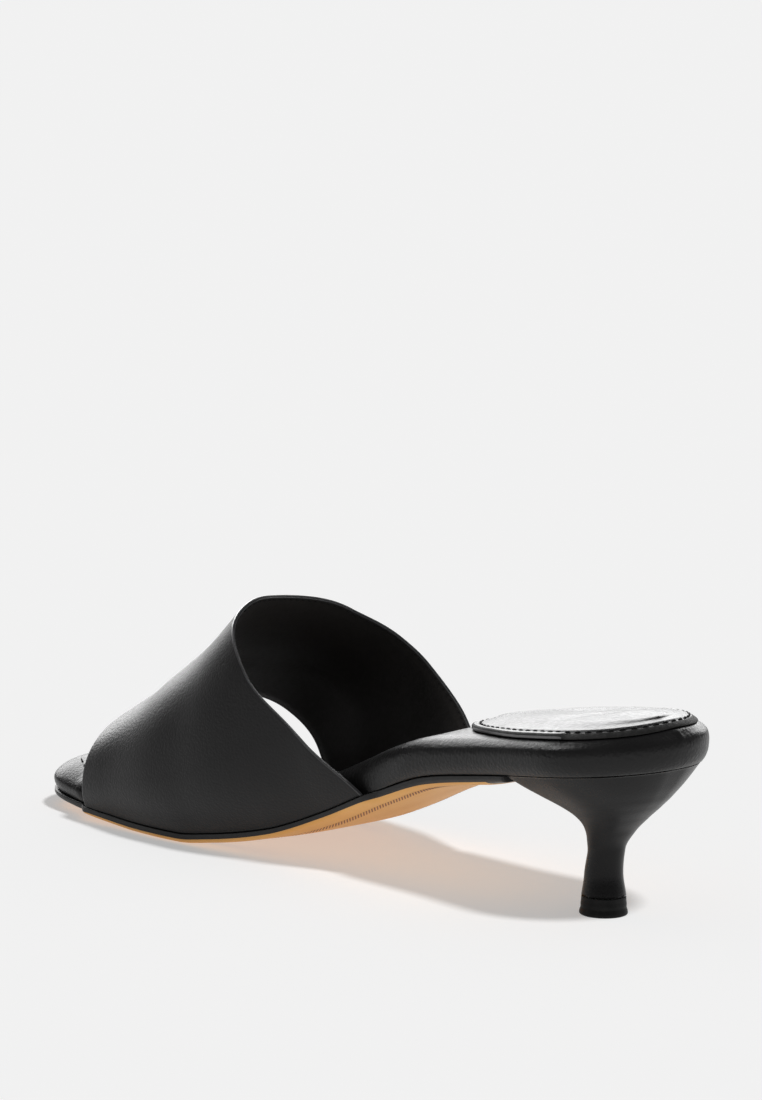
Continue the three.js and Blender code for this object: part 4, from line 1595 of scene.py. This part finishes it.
@dataclass(frozen=True)
class SoftBox:
    """Rectangular soft light: its place and size in metres and the brightness of its face."""

    name: str
    place: tuple[float, float, float]
    size: tuple[float, float]
    radiance: float

    def hang(self, receivers: bpy.types.Collection) -> None:
        """Adds the light, facing the shoe.

        Args:
            receivers: Collection that names what it lights, or what it leaves out.
        """
        wide, high = self.size
        data = bpy.data.lights.new(self.name, "AREA")
        data.shape = "RECTANGLE"
        data.size, data.size_y = wide, high
        data.energy = self.radiance * math.pi * wide * high
        light = bpy.data.objects.new(self.name, data)
        light.location = self.place
        aim = Vector((0, 0, 0.05)) - Vector(self.place)
        light.rotation_euler = aim.to_track_quat("-Z", "Y").to_euler()
        light.light_linking.receiver_collection = receivers
        bpy.context.scene.collection.objects.link(light)


ROOM_BOXES = (
    SoftBox("back_box", (1.45, -1.4, 0.95), (3.2, 1.5), 4.4),
    SoftBox("side_box", (1.0, 0.45, 1.15), (0.36, 0.36), 12.0),
)
HEEL_STRIPS = (
    SoftBox("left_strip", (1.0, 1.05, 0.56), (0.25, 0.7), 2.6),
    SoftBox("right_strip", (-1.0, -1.05, 0.56), (0.25, 0.7), 2.6),
)
VAMP_SHEEN = SoftBox("sheen_box", (1.75, -0.55, 1.15), (1.3, 1.1), 14.0)


@dataclass
class Studio:
    """Pale floor, lights, dim room and the camera."""

    lens: float = 250.54
    location: tuple[float, float, float] = (-1.53776, 1.48087, 0.48351)
    angles: tuple[float, float, float] = (79.5446, -0.8133, -133.7704)
    floor_size: float = 16.0
    floor_glow: float = 0.385
    floor_tone: float = 0.68
    key_strength: float = 2.0
    key_angle: float = 8.0
    key_direction: tuple[float, float, float] = (0.54, 0.0, -1.0)
    room: float = 0.17

    def camera(self) -> None:
        """Sets the camera at the photograph's angle."""
        data = bpy.data.cameras.new("studio_camera")
        data.lens = self.lens
        data.sensor_width = 36.0
        data.clip_start, data.clip_end = 0.05, 60.0
        camera = bpy.data.objects.new("studio_camera", data)
        camera.location = self.location
        camera.rotation_euler = [math.radians(a) for a in self.angles]
        bpy.context.scene.collection.objects.link(camera)
        bpy.context.scene.camera = camera

    def floor(self) -> bpy.types.Collection:
        """Lays the pale floor.

        Returns:
            A collection that keeps the soft boxes off the floor, so that its tone is even.
        """
        half = self.floor_size / 2
        mesh = bpy.data.meshes.new("studio_floor")
        corners = [(-half, -half, 0), (half, -half, 0), (half, half, 0), (-half, half, 0)]
        mesh.from_pydata(corners, [], [(0, 1, 2, 3)])
        graph = Graph("studio_floor")
        graph.surface(
            Base_Color=(self.floor_tone, self.floor_tone, self.floor_tone, 1),
            Roughness=0.9,
            Specular_IOR_Level=0.0,
            Emission_Color=(1.0, 1.0, 1.0, 1),
            Emission_Strength=self.floor_glow,
        )
        mesh.materials.append(graph.material)
        floor = bpy.data.objects.new("studio_floor", mesh)
        bpy.context.scene.collection.objects.link(floor)
        apart = bpy.data.collections.new("lit_by_key_alone")
        apart.objects.link(floor)
        apart.collection_objects[0].light_linking.link_state = "EXCLUDE"
        return apart

    @staticmethod
    def only(name: str, *pieces: str) -> bpy.types.Collection:
        """Collection that keeps a light to the named pieces."""
        lit = bpy.data.collections.new(name)
        for piece in pieces:
            lit.objects.link(bpy.data.objects[piece])
        return lit

    def key(self) -> None:
        """Adds the key light, whose shadow fans out from the heel and which leaves no highlight."""
        data = bpy.data.lights.new("key_light", "SUN")
        data.energy = self.key_strength
        data.angle = math.radians(self.key_angle)
        light = bpy.data.objects.new("key_light", data)
        light.rotation_euler = Vector(self.key_direction).to_track_quat("-Z", "Y").to_euler()
        light.visible_glossy = False
        bpy.context.scene.collection.objects.link(light)

    def world(self) -> None:
        """Sets the dim room behind the soft boxes."""
        world = bpy.data.worlds.new("studio_world")
        world.use_nodes = True
        background = world.node_tree.nodes["Background"]
        background.inputs["Color"].default_value = (1, 1, 1, 1)
        background.inputs["Strength"].default_value = self.room
        bpy.context.scene.world = world
        bpy.context.scene.view_settings.view_transform = "Standard"

    def build(self) -> None:
        """Sets the whole studio."""
        self.camera()
        apart = self.floor()
        self.world()
        self.key()
        for box in ROOM_BOXES:
            box.hang(apart)
        strips = self.only("lit_by_strips", "heel_block", "top_piece_plate")
        for box in HEEL_STRIPS:
            box.hang(strips)
        VAMP_SHEEN.hang(self.only("lit_by_sheen", "vamp_band"))


def frame_shift(last: Last) -> np.ndarray:
    """Move from the last's own axes to the frame.

    Args:
        last: Sizes of the last.

    Returns:
        The move in millimetres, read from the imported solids' boxes.
    """
    bed_low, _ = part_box("footbed")
    tip_low, tip_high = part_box("top_piece")
    return np.array([bed_low.x / MM + last.bed_bulge, (tip_low.y + tip_high.y) / 2 / MM, 0.0])


def main() -> None:
    logging.basicConfig(level=logging.INFO, format="%(message)s")
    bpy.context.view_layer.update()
    last = Last()
    shift = frame_shift(last)
    thread = Thread().material()
    vamp = Vamp(last, shift)
    footbed = Footbed(last, shift)
    pad = HeelPad(last, shift)
    heel = Heel(last, shift)
    sole = Outsole(last, shift)
    makers: list[Callable[[], bpy.types.Object]] = [
        vamp.build,
        lambda: vamp.topstitch(thread),
        footbed.build,
        lambda: footbed.toe_tacks(bpy.data.objects["footbed_wrap"], thread),
        pad.build,
        lambda: pad.stitches(thread),
        sole.build,
        lambda: sole.channel(PressedMark().material()),
        heel.build,
        heel.top_piece,
    ]
    for maker in makers:
        piece = maker()
        log.info("%s: %d faces", piece.name, len(piece.data.polygons))
    Studio().build()


if __name__ == "__main__":
    main()
